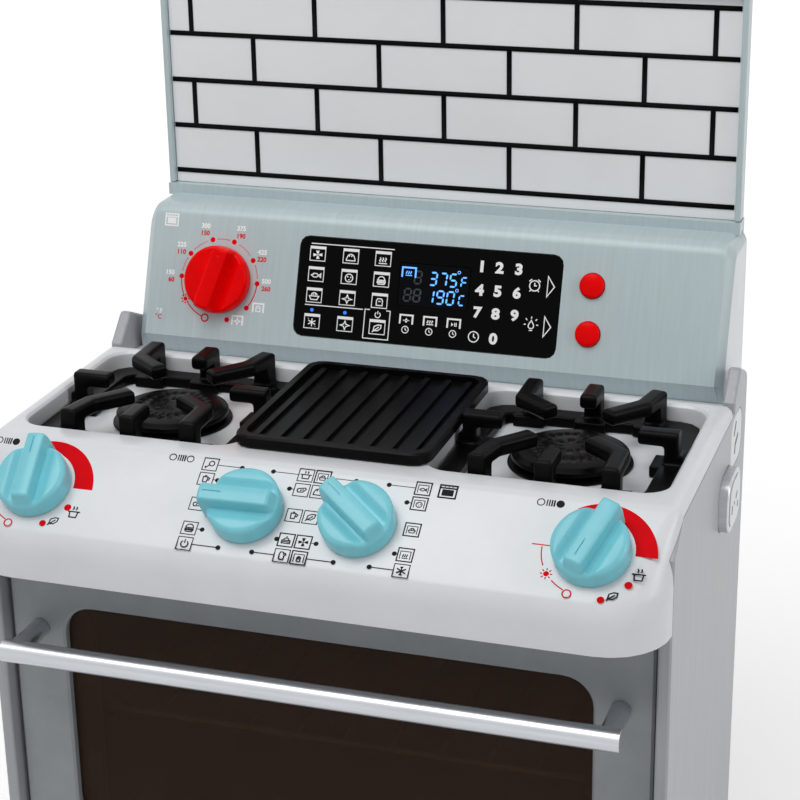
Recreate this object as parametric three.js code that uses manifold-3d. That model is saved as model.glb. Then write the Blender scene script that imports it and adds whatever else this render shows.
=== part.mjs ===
// A toy oven: a floor-standing play cooker with two hobs, a griddle, a control console and an oven.
// Millimetres. The front faces -Y, +Z is up, and the origin is on the floor under the middle of the toy.
import * as THREE from "three";
import { mergeVertices } from "three/addons/utils/BufferGeometryUtils.js";
import Module from "manifold-3d";

const wasm = await Module();
wasm.setup();

// Driving dimensions.
const bodyWidth = 550;
const bodyDepth = 410;
const worktopHeight = 500;
const gap = 0.4;
const overrun = 2;
const wall = 4;
const fineArc = 6;
const coarseArc = 3;
const roundSides = 40;
const smallSides = 16;

// Worktop: a deck with two wells, a sloped fascia and an apron that turns down in front.
const fascia = {
  run: 70,
  drop: 53,
  apron: 35,
  bend: 30,
  topEdge: 10,
  topCorner: 10,
  round: 8,
};
const deck = { lip: 8, shelfDrop: 14, shelfDepth: 38.6, rearRoom: 122 };
const well = { outer: 18, inner: 74, front: 26, rear: 14, drop: 22, corner: 19, edge: 5, foot: 2, leftShift: 4.5 };

// Hob burners and their grates.
const burner = { capShare: 0.67, footStep: -3, footHeight: 3, waistStep: 7, rimHeight: 5, height: 9, dome: 4.5 };
const grate = {
  clearance: 2.4,
  ringWidth: 18,
  topInset: 3.8,
  ringHeight: 9,
  corner: 20,
  rise: 12.7,
  armWidth: 14,
  armHeight: 12,
  armEdge: 2,
  riserDepth: 15,
  rootWidth: 26,
  rootDepth: 7,
};
// Plan points of the four kinds of arm, from the wall inwards, as shares of half the grate's width and depth.
const straightFrontArmShares = [[0, 1], [0, 0.64]];
const straightSideArmShares = [[1, 0], [0.6, 0]];
const longArmShares = [[0.58, 1], [0.51, 0.65], [0.25, 0.32]];
const hookArmShares = [[-0.57, 1], [-0.56, 0.56], [-0.25, 0.31]];

// Griddle between the wells.
const griddle = {
  overlap: 5,
  front: 22,
  height: 10,
  corner: 14,
  rimWidth: 7,
  trough: 5,
  ribs: 8,
  ribWidth: 5,
  ribHeight: 3,
  ribInset: 11,
  edge: 1.5,
};

// Turning knobs: four on the fascia, and a dial on the console.
const knob = {
  radius: 28.3,
  topRadius: 27.6,
  skirtHeight: 18,
  edge: 3,
  edgeShare: 0.3,
  gripLength: 25,
  pointer: 33,
  gripWidth: 17,
  gripHeight: 25,
  gripTopWidth: 12,
  lift: 0.8,
  stem: 5,
  stemLength: 12,
  stemPlay: 0.5,
  inner: 44,
  outerInset: 56.7,
  down: 42,
};
const detent = { radius: 12, lobes: 12, lobe: 0.8, thickness: 3.5, back: 1 };
const dial = {
  radius: 29.5,
  topRadius: 27,
  skirtHeight: 12,
  gripLength: 27.5,
  pointer: 28.5,
  gripHeight: 22,
  inset: 72.7,
  up: 55.6,
};
const dialSwitch = { side: 26, thickness: 9 };
// Where each pointer stands in degrees from straight up, anticlockwise seen from the front.
const knobTurnsDegrees = [5, 91, 53, -20];
const dialTurnDegrees = -16.5;

// Control console behind the worktop.
const consoleBox = {
  inset: 15,
  lean: 20.1,
  stand: 24.9,
  undercut: 9,
  faceBottom: 3.3,
  bevel: 7,
  topRound: 14,
  cornerRound: 14,
  ledge: 120.4,
  step: 8.2,
  stepInset: 3,
  stepFront: 7,
};
const display = {
  inset: 143.5,
  height: 86,
  across: 2,
  up: 57,
  corner: 8,
  pocket: 3.4,
  thickness: 2.6,
  fit: 0.6,
};
const screen = { width: 62, height: 36, across: 8.3, up: 65.3, corner: 2, thickness: 1.4, fit: 0.4 };
const pushButton = {
  radius: 10.5,
  fit: 0.5,
  proud: 4,
  dome: 1.2,
  flange: 13,
  flangeThickness: 2,
  travel: 2.5,
  inset: 115.3,
  upperUp: 77,
  lowerUp: 36.8,
};
const mat = { width: 34, height: 74, thickness: 2 };
const board = { inset: 86, height: 84, thickness: 1.6, up: 57, postRadius: 3.5, postInset: 7 };
const speaker = { radius: 28, magnet: 14, frame: 4, magnetDepth: 9, inset: 90 };
const soundSlot = { count: 5, width: 3, length: 36, pitch: 8 };

// Backsplash: a panel with a tile pattern in a frame on the console's ledge.
const splash = {
  sideInset: 3.4,
  postWidth: 5,
  postDepth: 17,
  lip: 5,
  lipDepth: 4,
  topBar: 9,
  thickness: 3,
  inset: 14,
  corner: 10,
};
const tile = { pitch: 115, row: 41, rows: 4, firstLine: 11.3, line: 4.2, thickness: 0.6, endGap: 0.8, topMargin: 8 };

// Side panels, with the raised ear beside the console, and what sits in the right one.
const side = {
  thickness: 10,
  setback: 47,
  behindDeck: 59,
  earRise: 23,
  earRun: 23,
  earHeel: 8,
  earCorner: 5,
  heelCorner: 12,
  edge: 1.5,
};
const sideButton = {
  width: 52,
  height: 46,
  corner: 15,
  proud: 8,
  sink: 4,
  fit: 0.6,
  travel: 2.6,
  pocket: 7,
  beforeDeckBack: 34,
  up: 432,
  stem: 4,
  stemLength: 8,
  stemPlay: 0.6,
  edge: 1,
};
const sideLabel = { inset: 4, thickness: 0.8 };
const sidePlate = { width: 48, height: 43, corner: 14, behindDeck: 13.5, up: 466, thickness: 1.4, pocket: 1.8, fit: 0.6 };

// Oven: base, rear cover, front frame, liner, rack and door.
const foot = { radius: 14, height: 12, inset: 30 };
const base = { height: 44, frontSetback: 65, wall: 4, rearSetback: 5 };
const rear = { sideGap: 3 };
const frame = { setback: 86, thickness: 8 };
const opening = { inset: 59, bottom: 134, top: 386, corner: 16 };
const liner = { wall: 3, spread: 2, ribDepth: 8, ribHeight: 5, ribUp: 112 };
const rack = { wire: 2.2, frameWire: 3, wires: 9, sideGap: 3, frontGap: 12, backGap: 8 };
const door = {
  sideGap: 3,
  bottom: 70,
  top: 404,
  setback: 58,
  frontThickness: 12,
  backThickness: 11,
  corner: 10,
  stile: 46,
  bottomRail: 90,
  topRail: 43,
  windowCorner: 24,
  glass: 4,
  glassLap: 8,
  edge: 2,
};
const hinge = { radius: 4, play: 0.4, up: 8, engage: 18, socket: 6 };
const handle = { radius: 9, standoff: 44, up: 270, inset: 25, postRadius: 8, overhang: 10 };
const batteryBox = { width: 120, height: 76, depth: 46, wall: 3, up: 250 };
const batteryDoor = { lap: 6, thickness: 3, corner: 6, fit: 0.8 };
const screw = { radius: 4, length: 9, headHeight: 2, shank: 2, play: 0.4, insetAcross: 16, insetUp: 16 };

// Places that follow from the driving dimensions.
const front = -bodyDepth / 2;
const back = bodyDepth / 2;
const half = bodyWidth / 2;
const sideInner = half - side.thickness;
const fasciaTop = front + fascia.run;
const slope = Math.atan2(fascia.run, fascia.drop);
const apronBottom = worktopHeight - fascia.drop - fascia.apron;
const deckBack = back - deck.rearRoom;
const shelfTop = worktopHeight - deck.shelfDrop;
const shelfBack = deckBack + deck.shelfDepth;
const wellWidth = half - well.outer - well.inner;
const wellDepth = deckBack - fasciaTop - well.front - well.rear;
const wellSpread = well.inner + wellWidth / 2;
const leftWell = -wellSpread - well.leftShift;
const wellMiddle = fasciaTop + well.front + wellDepth / 2;
const griddleWidth = 2 * (well.inner + griddle.overlap);
const wellFloor = worktopHeight - well.drop;
const sideFront = front + side.setback;
const sideTop = worktopHeight - deck.lip - gap;
const sideButtonAlong = deckBack - sideButton.beforeDeckBack;
const sidePlateAlong = deckBack + sidePlate.behindDeck;
const pitch = fascia.drop / fascia.run;
const underSlope = (deck.lip + 2 * gap) / Math.sin(slope) + (fascia.topCorner - fascia.round) * pitch;
const shoulderTop = fasciaTop + (underSlope - (worktopHeight - sideTop)) / pitch;
const shoulder = sideTop - (shoulderTop - sideFront) * pitch;
const lean = (consoleBox.lean * Math.PI) / 180;
const consoleHalf = half - consoleBox.inset;
const displayHalf = consoleHalf - display.inset;
const dialAcross = consoleHalf - dial.inset;
const buttonAcross = consoleHalf - pushButton.inset;
const boardHalf = consoleHalf - board.inset;
const consoleFoot = deckBack + consoleBox.stand;
const consoleBottom = shelfTop + gap;
const ledgeTop = worktopHeight + consoleBox.ledge;
const ledge = ledgeTop - consoleBox.step;
const speakerHeight = (consoleBottom + ledgeTop) / 2;
const speakerAcross = speaker.inset - consoleHalf;
const coverFront = back - wall;
const splashFront = back - splash.inset;
const splashTop = ledgeTop + tile.firstLine + tile.rows * tile.row + tile.topMargin;
const baseTop = foot.height + base.height;
const trayFloor = foot.height + base.wall;
const rearTop = shelfTop - gap;
const rearFront = shelfBack + gap;
const rearHalf = sideInner - rear.sideGap;
const frameFront = front + frame.setback;
const frameBack = frameFront + frame.thickness;
const doorHalf = sideInner - door.sideGap;
const windowHalf = doorHalf - door.stile;
const windowBottom = door.bottom + door.bottomRail;
const windowTop = door.top - door.topRail;
const handleAcross = doorHalf - handle.inset;
const doorFront = front + door.setback;
const doorSplit = doorFront + door.frontThickness;
const doorBack = doorSplit + door.backThickness;
const hingeHeight = door.bottom + hinge.up;
const linerFront = frameBack + gap;
const openingHalf = sideInner - opening.inset;
const linerBack = rearFront - gap;
const linerHalf = openingHalf + liner.spread;
const linerFloor = opening.bottom - liner.spread;
const linerCeiling = opening.top + liner.spread;

const paint = {
  white: new THREE.MeshStandardMaterial({ color: 0xe4e6e8, roughness: 0.35 }),
  sideGrey: new THREE.MeshStandardMaterial({ color: 0xb3b5bb, roughness: 0.4, metalness: 0.2 }),
  consoleGrey: new THREE.MeshStandardMaterial({ color: 0xa8b9bd, roughness: 0.4, metalness: 0.2 }),
  innerGrey: new THREE.MeshStandardMaterial({ color: 0x84898d, roughness: 0.6 }),
  turquoise: new THREE.MeshStandardMaterial({ color: 0x7fcfda, roughness: 0.35 }),
  red: new THREE.MeshStandardMaterial({ color: 0xe01018, roughness: 0.35 }),
  iron: new THREE.MeshStandardMaterial({ color: 0x1c1819, roughness: 0.5 }),
  darkLiner: new THREE.MeshStandardMaterial({ color: 0x2a2b2e, roughness: 0.6 }),
  gloss: new THREE.MeshStandardMaterial({ color: 0x08090a, roughness: 0.12 }),
  screen: new THREE.MeshStandardMaterial({ color: 0x0c1420, roughness: 0.1 }),
  smoked: new THREE.MeshStandardMaterial({ color: 0x1b1512, roughness: 0.08, transparent: true, opacity: 0.6 }),
  tile: new THREE.MeshStandardMaterial({ color: 0xfafafa, roughness: 0.3 }),
  line: new THREE.MeshStandardMaterial({ color: 0x0a0a0a, roughness: 0.5 }),
  rubber: new THREE.MeshStandardMaterial({ color: 0x3a3b3d, roughness: 0.9 }),
  board: new THREE.MeshStandardMaterial({ color: 0x1f5b3a, roughness: 0.6 }),
  steel: new THREE.MeshStandardMaterial({ color: 0xb9bcc0, roughness: 0.3, metalness: 0.9 }),
};

// A closed geometry as a solid that can be joined and cut.
function toSolid(geometry) {
  const bare = geometry.clone();
  bare.deleteAttribute("normal");
  bare.deleteAttribute("uv");
  const merged = mergeVertices(bare, 1e-4);
  return new wasm.Manifold(
    new wasm.Mesh({
      numProp: 3,
      vertProperties: merged.attributes.position.array,
      triVerts: new Uint32Array(merged.index.array),
    }),
  );
}

// A solid as a geometry again.
function toGeometry(solid) {
  const mesh = solid.getMesh();
  const geometry = new THREE.BufferGeometry();
  const points = new Float32Array(mesh.numVert * 3);
  for (let i = 0; i < mesh.numVert; i++) {
    points.set(mesh.vertProperties.subarray(i * mesh.numProp, i * mesh.numProp + 3), i * 3);
  }
  geometry.setAttribute("position", new THREE.BufferAttribute(points, 3));
  geometry.setIndex(new THREE.BufferAttribute(new Uint32Array(mesh.triVerts), 1));
  geometry.computeVertexNormals();
  return geometry;
}

function join(...geometries) {
  return toGeometry(geometries.map(toSolid).reduce((sum, solid) => sum.add(solid)));
}

function cut(geometry, ...tools) {
  return toGeometry(tools.map(toSolid).reduce((rest, tool) => rest.subtract(tool), toSolid(geometry)));
}

function common(one, other) {
  return toGeometry(toSolid(one).intersect(toSolid(other)));
}

// A box from its lowest to its highest corner.
function block(x0, x1, y0, y1, z0, z1) {
  const box = new THREE.BoxGeometry(x1 - x0, y1 - y0, z1 - z0);
  return box.translate((x0 + x1) / 2, (y0 + y1) / 2, (z0 + z1) / 2);
}

// A round bar along Z that starts at z0.
function bar(radius, z0, z1, sides = smallSides) {
  const rod = new THREE.CylinderGeometry(radius, radius, z1 - z0, sides);
  return rod.rotateX(Math.PI / 2).translate(0, 0, (z0 + z1) / 2);
}

// A turned piece about Z, from radius and height pairs that close on the axis.
function turned(profile, sides = roundSides) {
  const points = profile.map(([radius, height]) => new THREE.Vector2(radius, height));
  return new THREE.LatheGeometry(points, sides).rotateX(Math.PI / 2);
}

// The outline of a rounded rectangle about the origin, anticlockwise.
function roundedOutline(width, height, radius, steps) {
  const points = [];
  const corners = [[1, 1], [-1, 1], [-1, -1], [1, -1]];
  corners.forEach(([sx, sy], corner) => {
    for (let i = 0; i <= steps; i++) {
      const angle = ((corner + i / steps) * Math.PI) / 2;
      const x = sx * (width / 2 - radius) + radius * Math.cos(angle);
      const y = sy * (height / 2 - radius) + radius * Math.sin(angle);
      points.push(new THREE.Vector2(x, y));
    }
  });
  return points;
}

// A flat plate in X and Y, from z0 to z1, with an edge bevelled on both faces.
function plate(outline, z0, z1, edge = 0, holes = []) {
  const shape = new THREE.Shape(outline);
  holes.forEach((hole) => shape.holes.push(new THREE.Path(hole)));
  const depth = z1 - z0 - 2 * edge;
  const options = {
    depth,
    bevelEnabled: edge > 0,
    bevelThickness: edge,
    bevelSize: edge,
    bevelOffset: -edge,
    bevelSegments: 1,
  };
  return new THREE.ExtrudeGeometry(shape, options).translate(0, 0, z0 + edge);
}

function roundedPlate(width, height, radius, z0, z1, edge = 0, steps = coarseArc) {
  return plate(roundedOutline(width, height, radius, steps), z0, z1, edge);
}

// Rings of points, each with as many points, skinned from the first ring to the last and closed at both ends.
function loft(rings) {
  const count = rings[0].length;
  const points = rings.flat();
  const faces = [];
  for (let r = 0; r + 1 < rings.length; r++) {
    for (let i = 0; i < count; i++) {
      const a = r * count + i;
      const b = r * count + ((i + 1) % count);
      faces.push(a, b, b + count, a, b + count, a + count);
    }
  }
  const last = (rings.length - 1) * count;
  for (let i = 1; i + 1 < count; i++) {
    faces.push(0, i + 1, i);
    faces.push(last, last + i, last + i + 1);
  }
  const geometry = new THREE.BufferGeometry();
  geometry.setAttribute("position", new THREE.Float32BufferAttribute(points.flatMap((p) => [p.x, p.y, p.z]), 3));
  geometry.setIndex(faces);
  return geometry;
}

// A prism along X over an outline of (y, z) pairs.
function prismAlongX(outline, x0, x1, edge = 0) {
  const flat = outline.map(([y, z]) => new THREE.Vector2(y, z));
  const solid = plate(flat, x0, x1, edge);
  const turn = new THREE.Matrix4().makeBasis(
    new THREE.Vector3(0, 1, 0),
    new THREE.Vector3(0, 0, 1),
    new THREE.Vector3(1, 0, 0),
  );
  return solid.applyMatrix4(turn);
}

// Moves each side of a convex anticlockwise outline inwards.
function inset(outline, distance) {
  return outline.map((point, i) => {
    const before = outline[(i + outline.length - 1) % outline.length];
    const after = outline[(i + 1) % outline.length];
    const one = new THREE.Vector2(point[0] - before[0], point[1] - before[1]).normalize();
    const two = new THREE.Vector2(after[0] - point[0], after[1] - point[1]).normalize();
    const turn = one.x * two.y - one.y * two.x;
    const shift = distance / turn;
    return [point[0] + (two.x - one.x) * shift, point[1] + (two.y - one.y) * shift];
  });
}

// A plate that stands upright, facing -Y: its outline is in X and Z, and it reaches from y0 to y1.
function uprightPlate(outline, y0, y1, edge = 0, holes = []) {
  return plate(outline, -y1, -y0, edge, holes).rotateX(Math.PI / 2);
}

function shifted(outline, dx, dy) {
  return outline.map((p) => new THREE.Vector2(p.x + dx, p.y + dy));
}

// A bent strip of even width in plan, along a list of points.
function stripOutline(points, width) {
  const left = [];
  const right = [];
  points.forEach((p, i) => {
    const before = points[Math.max(i - 1, 0)];
    const after = points[Math.min(i + 1, points.length - 1)];
    const one = i > 0 ? new THREE.Vector2().subVectors(p, before).normalize() : null;
    const two = i + 1 < points.length ? new THREE.Vector2().subVectors(after, p).normalize() : null;
    const along = new THREE.Vector2().addVectors(one || two, two || one).normalize();
    const reach = width / 2 / along.dot(two || one);
    left.push(new THREE.Vector2(p.x - along.y * reach, p.y + along.x * reach));
    right.unshift(new THREE.Vector2(p.x + along.y * reach, p.y - along.x * reach));
  });
  return [...right, ...left];
}

function frameAt(y, z, tilt) {
  return new THREE.Matrix4().makeTranslation(0, y, z).multiply(new THREE.Matrix4().makeRotationX(tilt));
}

// The fascia's own frame: X across, Y up the slope and Z out of it, from its top edge.
const fasciaTilt = Math.PI / 2 - slope;
const fasciaFrame = frameAt(fasciaTop, worktopHeight, fasciaTilt);
// The console face's own frame, from where the face would meet the worktop's level.
const consoleTilt = Math.PI / 2 - lean;
const consoleFrame = frameAt(consoleFoot, worktopHeight, consoleTilt);

const knobOuter = half - knob.outerInset;
const knobPlaces = [-knobOuter, -knob.inner, knob.inner, knobOuter];

// One level of the worktop's outside: straight sides and back, and rounded front corners.
function worktopRing(y0, z, radius, margin) {
  const x = half - margin;
  const ring = [new THREE.Vector3(x, deckBack - margin, z), new THREE.Vector3(-x, deckBack - margin, z)];
  for (let i = 0; i <= fineArc; i++) {
    const angle = Math.PI + (i / fineArc) * (Math.PI / 2);
    ring.push(new THREE.Vector3(-x + radius + radius * Math.cos(angle), y0 + radius + radius * Math.sin(angle), z));
  }
  for (let i = 0; i <= fineArc; i++) {
    const angle = Math.PI * 1.5 + (i / fineArc) * (Math.PI / 2);
    ring.push(new THREE.Vector3(x - radius + radius * Math.cos(angle), y0 + radius + radius * Math.sin(angle), z));
  }
  return ring;
}

// The front profile of the worktop from the apron's foot to the deck, drawn in by a margin.
function worktopLevels(margin) {
  const top = worktopHeight - margin;
  const y0 = front + margin;
  const drawn = margin * Math.tan(slope / 2);
  const bendZ = worktopHeight - fascia.drop - drawn;
  const bend = Math.max(fascia.bend - margin, margin);
  const bendTangent = bend * Math.tan(slope / 2);
  const edge = Math.max(fascia.topEdge - margin, margin / 2);
  const topTurn = Math.PI / 2 - slope;
  const edgeTangent = edge * Math.tan(topTurn / 2);
  const crest = fasciaTop + margin * Math.tan(topTurn / 2);
  const levels = [[y0, apronBottom - (margin > 0 ? overrun : 0)]];
  for (let i = 0; i <= coarseArc; i++) {
    const angle = (i / coarseArc) * slope;
    const start = bendZ - bendTangent;
    levels.push([y0 + bend - bend * Math.cos(angle), start + bend * Math.sin(angle)]);
  }
  for (let i = 0; i <= coarseArc; i++) {
    const angle = slope + (i / coarseArc) * topTurn;
    levels.push([crest + edgeTangent - edge * Math.cos(angle), top - edge + edge * Math.sin(angle)]);
  }
  return levels;
}

// The worktop's outside or, with a margin, the hollow inside it.
function worktopForm(margin) {
  const rings = worktopLevels(margin).map(([y, z]) => {
    const radius = Math.max(sideFront - y, fascia.topCorner - margin, gap);
    return worktopRing(y, z, radius, margin);
  });
  return loft(rings);
}

// Unit directions round a ball, with the fascia's own direction among them.
function ballDirections() {
  const directions = [new THREE.Vector3(0, 0, 1), new THREE.Vector3(0, -Math.cos(slope), Math.sin(slope))];
  const around = 4 * coarseArc;
  for (let i = 0; i < coarseArc; i++) {
    const rise = (i / coarseArc) * (Math.PI / 2);
    for (let j = 0; j < around; j++) {
      const turn = (j / around) * 2 * Math.PI;
      directions.push(
        new THREE.Vector3(Math.cos(turn) * Math.cos(rise), Math.sin(turn) * Math.cos(rise), Math.sin(rise)),
      );
    }
  }
  return directions;
}

// The worktop's outside with every edge rounded: the hull of balls at the corners of a smaller form.
function roundedForm() {
  const corners = worktopForm(fascia.round).attributes.position;
  const directions = ballDirections();
  const points = [];
  for (let i = 0; i < corners.count; i++) {
    directions.forEach((d) => {
      points.push([
        corners.getX(i) + d.x * fascia.round,
        corners.getY(i) + d.y * fascia.round,
        corners.getZ(i) + d.z * fascia.round,
      ]);
    });
  }
  const ball = toGeometry(wasm.Manifold.hull(points));
  return cut(ball, block(-bodyWidth, bodyWidth, -bodyDepth, bodyDepth, 0, apronBottom));
}

function ringAt(outline, z) {
  return outline.map((p) => new THREE.Vector3(p.x, p.y, z));
}

// The hollow of one well: a filleted foot, an upright wall and a rolled top edge.
function wellHollow(x) {
  const rings = [];
  const add = (grow, z) => {
    const outline = roundedOutline(wellWidth + 2 * grow, wellDepth + 2 * grow, well.corner + grow, fineArc);
    rings.push(ringAt(shifted(outline, x, wellMiddle), z));
  };
  for (let i = 0; i <= coarseArc; i++) {
    const angle = (i / coarseArc) * (Math.PI / 2);
    add(-well.foot * (1 - Math.sin(angle)), wellFloor + well.foot * (1 - Math.cos(angle)));
  }
  for (let i = 0; i <= coarseArc; i++) {
    const angle = (i / coarseArc) * (Math.PI / 2);
    add(well.edge * (1 - Math.cos(angle)), worktopHeight - well.edge * (1 - Math.sin(angle)));
  }
  add(well.edge, worktopHeight + overrun);
  return loft(rings);
}

function wellPan(x) {
  const outline = roundedOutline(wellWidth + 2 * wall, wellDepth + 2 * wall, well.corner + wall, fineArc);
  return plate(shifted(outline, x, wellMiddle), wellFloor - wall, worktopHeight - wall / 2);
}

// The notch in each side of the worktop that the side panel fills.
function sideNotch(sign) {
  const outline = [
    [sideFront - gap, apronBottom - overrun],
    [deckBack + overrun, apronBottom - overrun],
    [deckBack + overrun, sideTop + gap],
    [shoulderTop, sideTop + gap],
    [sideFront - gap, shoulder + gap],
  ];
  const x0 = sign > 0 ? sideInner - gap : -half - overrun;
  return prismAlongX(outline, x0, x0 + side.thickness + gap + overrun);
}

function makeWorktop() {
  const hollow = cut(worktopForm(wall), wellPan(leftWell), wellPan(wellSpread));
  const stepDown = block(
    -sideInner,
    sideInner,
    deckBack - wall,
    deckBack + overrun,
    apronBottom - overrun,
    shelfTop - wall,
  );
  const shelf = block(-sideInner + gap, sideInner - gap, deckBack - wall, shelfBack, shelfTop - wall, shelfTop);
  const stems = knobPlaces.map((x) =>
    bar(knob.stem + knob.stemPlay, -2 * wall, 2 * wall)
      .translate(x, -knob.down, 0)
      .applyMatrix4(fasciaFrame),
  );
  const tools = [hollow, stepDown, sideNotch(-1), sideNotch(1), wellHollow(leftWell), wellHollow(wellSpread)];
  return cut(join(cut(roundedForm(), ...tools), shelf), ...stems);
}

// Burner: a foot, a narrower waist and a wide domed cap.
function makeBurner() {
  const capFoot = burner.height - burner.rimHeight;
  const innerHalf = Math.min(wellWidth, wellDepth) / 2 - grate.clearance - grate.ringWidth;
  const rim = innerHalf * burner.capShare;
  const base = rim - burner.footStep;
  const waist = rim - burner.waistStep;
  return turned([
    [0, 0],
    [base, 0],
    [base, burner.footHeight],
    [waist, burner.footHeight],
    [waist, capFoot],
    [rim, capFoot],
    [rim, burner.height],
    [rim * 0.9, burner.height + burner.dome * 0.45],
    [rim * 0.6, burner.height + burner.dome * 0.85],
    [0, burner.height + burner.dome],
  ]);
}

const grateHalf = { x: wellWidth / 2 - grate.clearance, y: wellDepth / 2 - grate.clearance };

function armPoints(shares, turn) {
  return shares.map(([x, y]) => new THREE.Vector2(turn * x * grateHalf.x, turn * y * grateHalf.y));
}

// One arm of a grate: a root on the ring, a riser and an arm that reaches over the burner.
function grateArm(shares, turn, top) {
  const points = armPoints(shares, turn);
  const first = new THREE.Vector2().subVectors(points[1], points[0]).normalize();
  const riserEnd = points[0].clone().addScaledVector(first, grate.riserDepth);
  const rootEnd = points[0].clone().addScaledVector(first, grate.ringWidth + grate.rootDepth);
  const reach = plate(stripOutline(points, grate.armWidth), top - grate.armHeight, top, grate.armEdge);
  const riser = plate(stripOutline([points[0], riserEnd], grate.armWidth), grate.ringHeight / 2, top - grate.armEdge);
  const root = plate(stripOutline([points[0], rootEnd], grate.rootWidth), 0, grate.ringHeight);
  return [reach, riser, root];
}

// A grate stands on the well's floor, its ring along the walls and eight arms above it.
function makeGrate() {
  const top = well.drop + grate.rise;
  const outer = roundedOutline(2 * grateHalf.x, 2 * grateHalf.y, grate.corner, coarseArc);
  const innerWidth = 2 * (grateHalf.x - grate.ringWidth);
  const innerDepth = 2 * (grateHalf.y - grate.ringWidth);
  const inner = roundedOutline(innerWidth, innerDepth, grate.corner / 2, coarseArc);
  const ring = plate(outer, 0, grate.ringHeight, 0, [inner]);
  const kinds = [straightFrontArmShares, straightSideArmShares, longArmShares, hookArmShares];
  const arms = kinds.flatMap((shares) => [1, -1].flatMap((turn) => grateArm(shares, turn, top)));
  const narrower = roundedOutline(2 * (grateHalf.x - grate.topInset), 2 * grateHalf.y, grate.corner, coarseArc);
  const below = plate(outer, -overrun, well.drop - well.edge);
  const above = plate(narrower, grate.ringHeight, top + overrun);
  return common(join(ring, ...arms), join(below, above));
}

// Griddle: a plate with a raised rim and ribs that run front to back.
function makeGriddle() {
  const slab = roundedPlate(griddleWidth, wellDepth, griddle.corner, 0, griddle.height, griddle.edge);
  const panWidth = griddleWidth - 2 * griddle.rimWidth;
  const panDepth = wellDepth - 2 * griddle.rimWidth;
  const panCorner = griddle.corner - griddle.rimWidth / 2;
  const pan = roundedPlate(panWidth, panDepth, panCorner, griddle.height - griddle.trough, griddle.height + overrun);
  const ribRun = wellDepth - 2 * griddle.ribInset;
  const pitch = panWidth / griddle.ribs;
  const ribs = [];
  for (let i = 0; i < griddle.ribs; i++) {
    const x = (i - (griddle.ribs - 1) / 2) * pitch;
    const foot = griddle.height - griddle.trough - overrun;
    const rib = roundedPlate(griddle.ribWidth, ribRun, griddle.ribWidth / 2.01, foot, foot + overrun + griddle.ribHeight);
    ribs.push(rib.translate(x, 0, 0));
  }
  return join(cut(slab, pan), ...ribs);
}

// A grip bar across a knob: wide at its foot, narrower on top, with a pointer end.
function gripBar(size, height) {
  const foot = knob.skirtHeight / 2;
  const ring = (width, long, short, z) => {
    const nose = width * 0.3;
    const points = [
      [-width / 2, -short + nose],
      [-width / 4, -short],
      [width / 4, -short],
      [width / 2, -short + nose],
      [width / 2, long - 2 * nose],
      [width / 4, long],
      [-width / 4, long],
      [-width / 2, long - 2 * nose],
    ];
    return points.map(([x, y]) => new THREE.Vector3(x, y, z));
  };
  const soften = knob.edge / 2;
  return loft([
    ring(knob.gripWidth, size.pointer, size.gripLength, foot),
    ring(knob.gripTopWidth + soften, size.pointer, size.gripLength - soften, height - soften),
    ring(knob.gripTopWidth, size.pointer - soften, size.gripLength - 2 * soften, height),
  ]);
}

// A knob in its own frame: Z is its axis and Y is where it points.
function makeKnob(size) {
  const skirt = turned([
    [0, knob.lift],
    [size.radius, knob.lift],
    [size.radius, knob.lift + knob.edge / 2],
    [size.topRadius, size.skirtHeight - knob.edge],
    [size.topRadius - knob.edge * knob.edgeShare, size.skirtHeight - knob.edge * knob.edgeShare],
    [size.topRadius - knob.edge, size.skirtHeight],
    [0, size.skirtHeight],
  ]);
  const stem = bar(knob.stem, -knob.stemLength, knob.lift + knob.edge);
  return join(skirt, gripBar(size, size.gripHeight), stem);
}

// A click wheel on the knob's stem, behind the fascia.
function makeDetent() {
  const steps = detent.lobes * 4;
  const outline = [];
  for (let i = 0; i < steps; i++) {
    const angle = (i / steps) * 2 * Math.PI;
    const radius = detent.radius + detent.lobe * Math.cos(angle * detent.lobes);
    outline.push(new THREE.Vector2(radius * Math.cos(angle), radius * Math.sin(angle)));
  }
  const top = -wall - detent.back;
  return cut(plate(outline, top - detent.thickness, top), bar(knob.stem + gap, -knob.stemLength - overrun, 0));
}

const matFront = -consoleBox.bevel - wall - gap - pushButton.flangeThickness - pushButton.travel - gap;
const boardTop = matFront - mat.thickness - gap;

// Points up and out of the console's face, given in the part's Y and Z.
function onConsole(up, out) {
  return [
    consoleFoot + up * Math.sin(lean) - out * Math.cos(lean),
    worktopHeight + up * Math.cos(lean) + out * Math.sin(lean),
  ];
}

// The console's section in Y and Z, with its face moved back and its ledge moved down.
function consoleSection(behind, below) {
  const radius = consoleBox.topRound;
  const out = -behind - radius;
  const up = (ledge - below - radius - worktopHeight - out * Math.sin(lean)) / Math.cos(lean);
  const [y, z] = onConsole(up, out);
  const arc = [];
  for (let i = 0; i <= fineArc; i++) {
    const angle = Math.PI / 2 + (i / fineArc) * (Math.PI / 2 - lean);
    arc.push([y + radius * Math.cos(angle), z + radius * Math.sin(angle)]);
  }
  return [
    [consoleFoot + consoleBox.undercut, consoleBottom],
    [coverFront - gap, consoleBottom],
    [coverFront - gap, ledge - below],
    ...arc,
    onConsole(consoleBox.faceBottom, -behind),
  ];
}

// How far the console's ledge drops at a distance from its end, round the upper corner.
function cornerDrop(distance) {
  const radius = consoleBox.cornerRound;
  const left = Math.max(radius - distance, 0);
  return radius - Math.sqrt(radius * radius - left * left);
}

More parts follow.
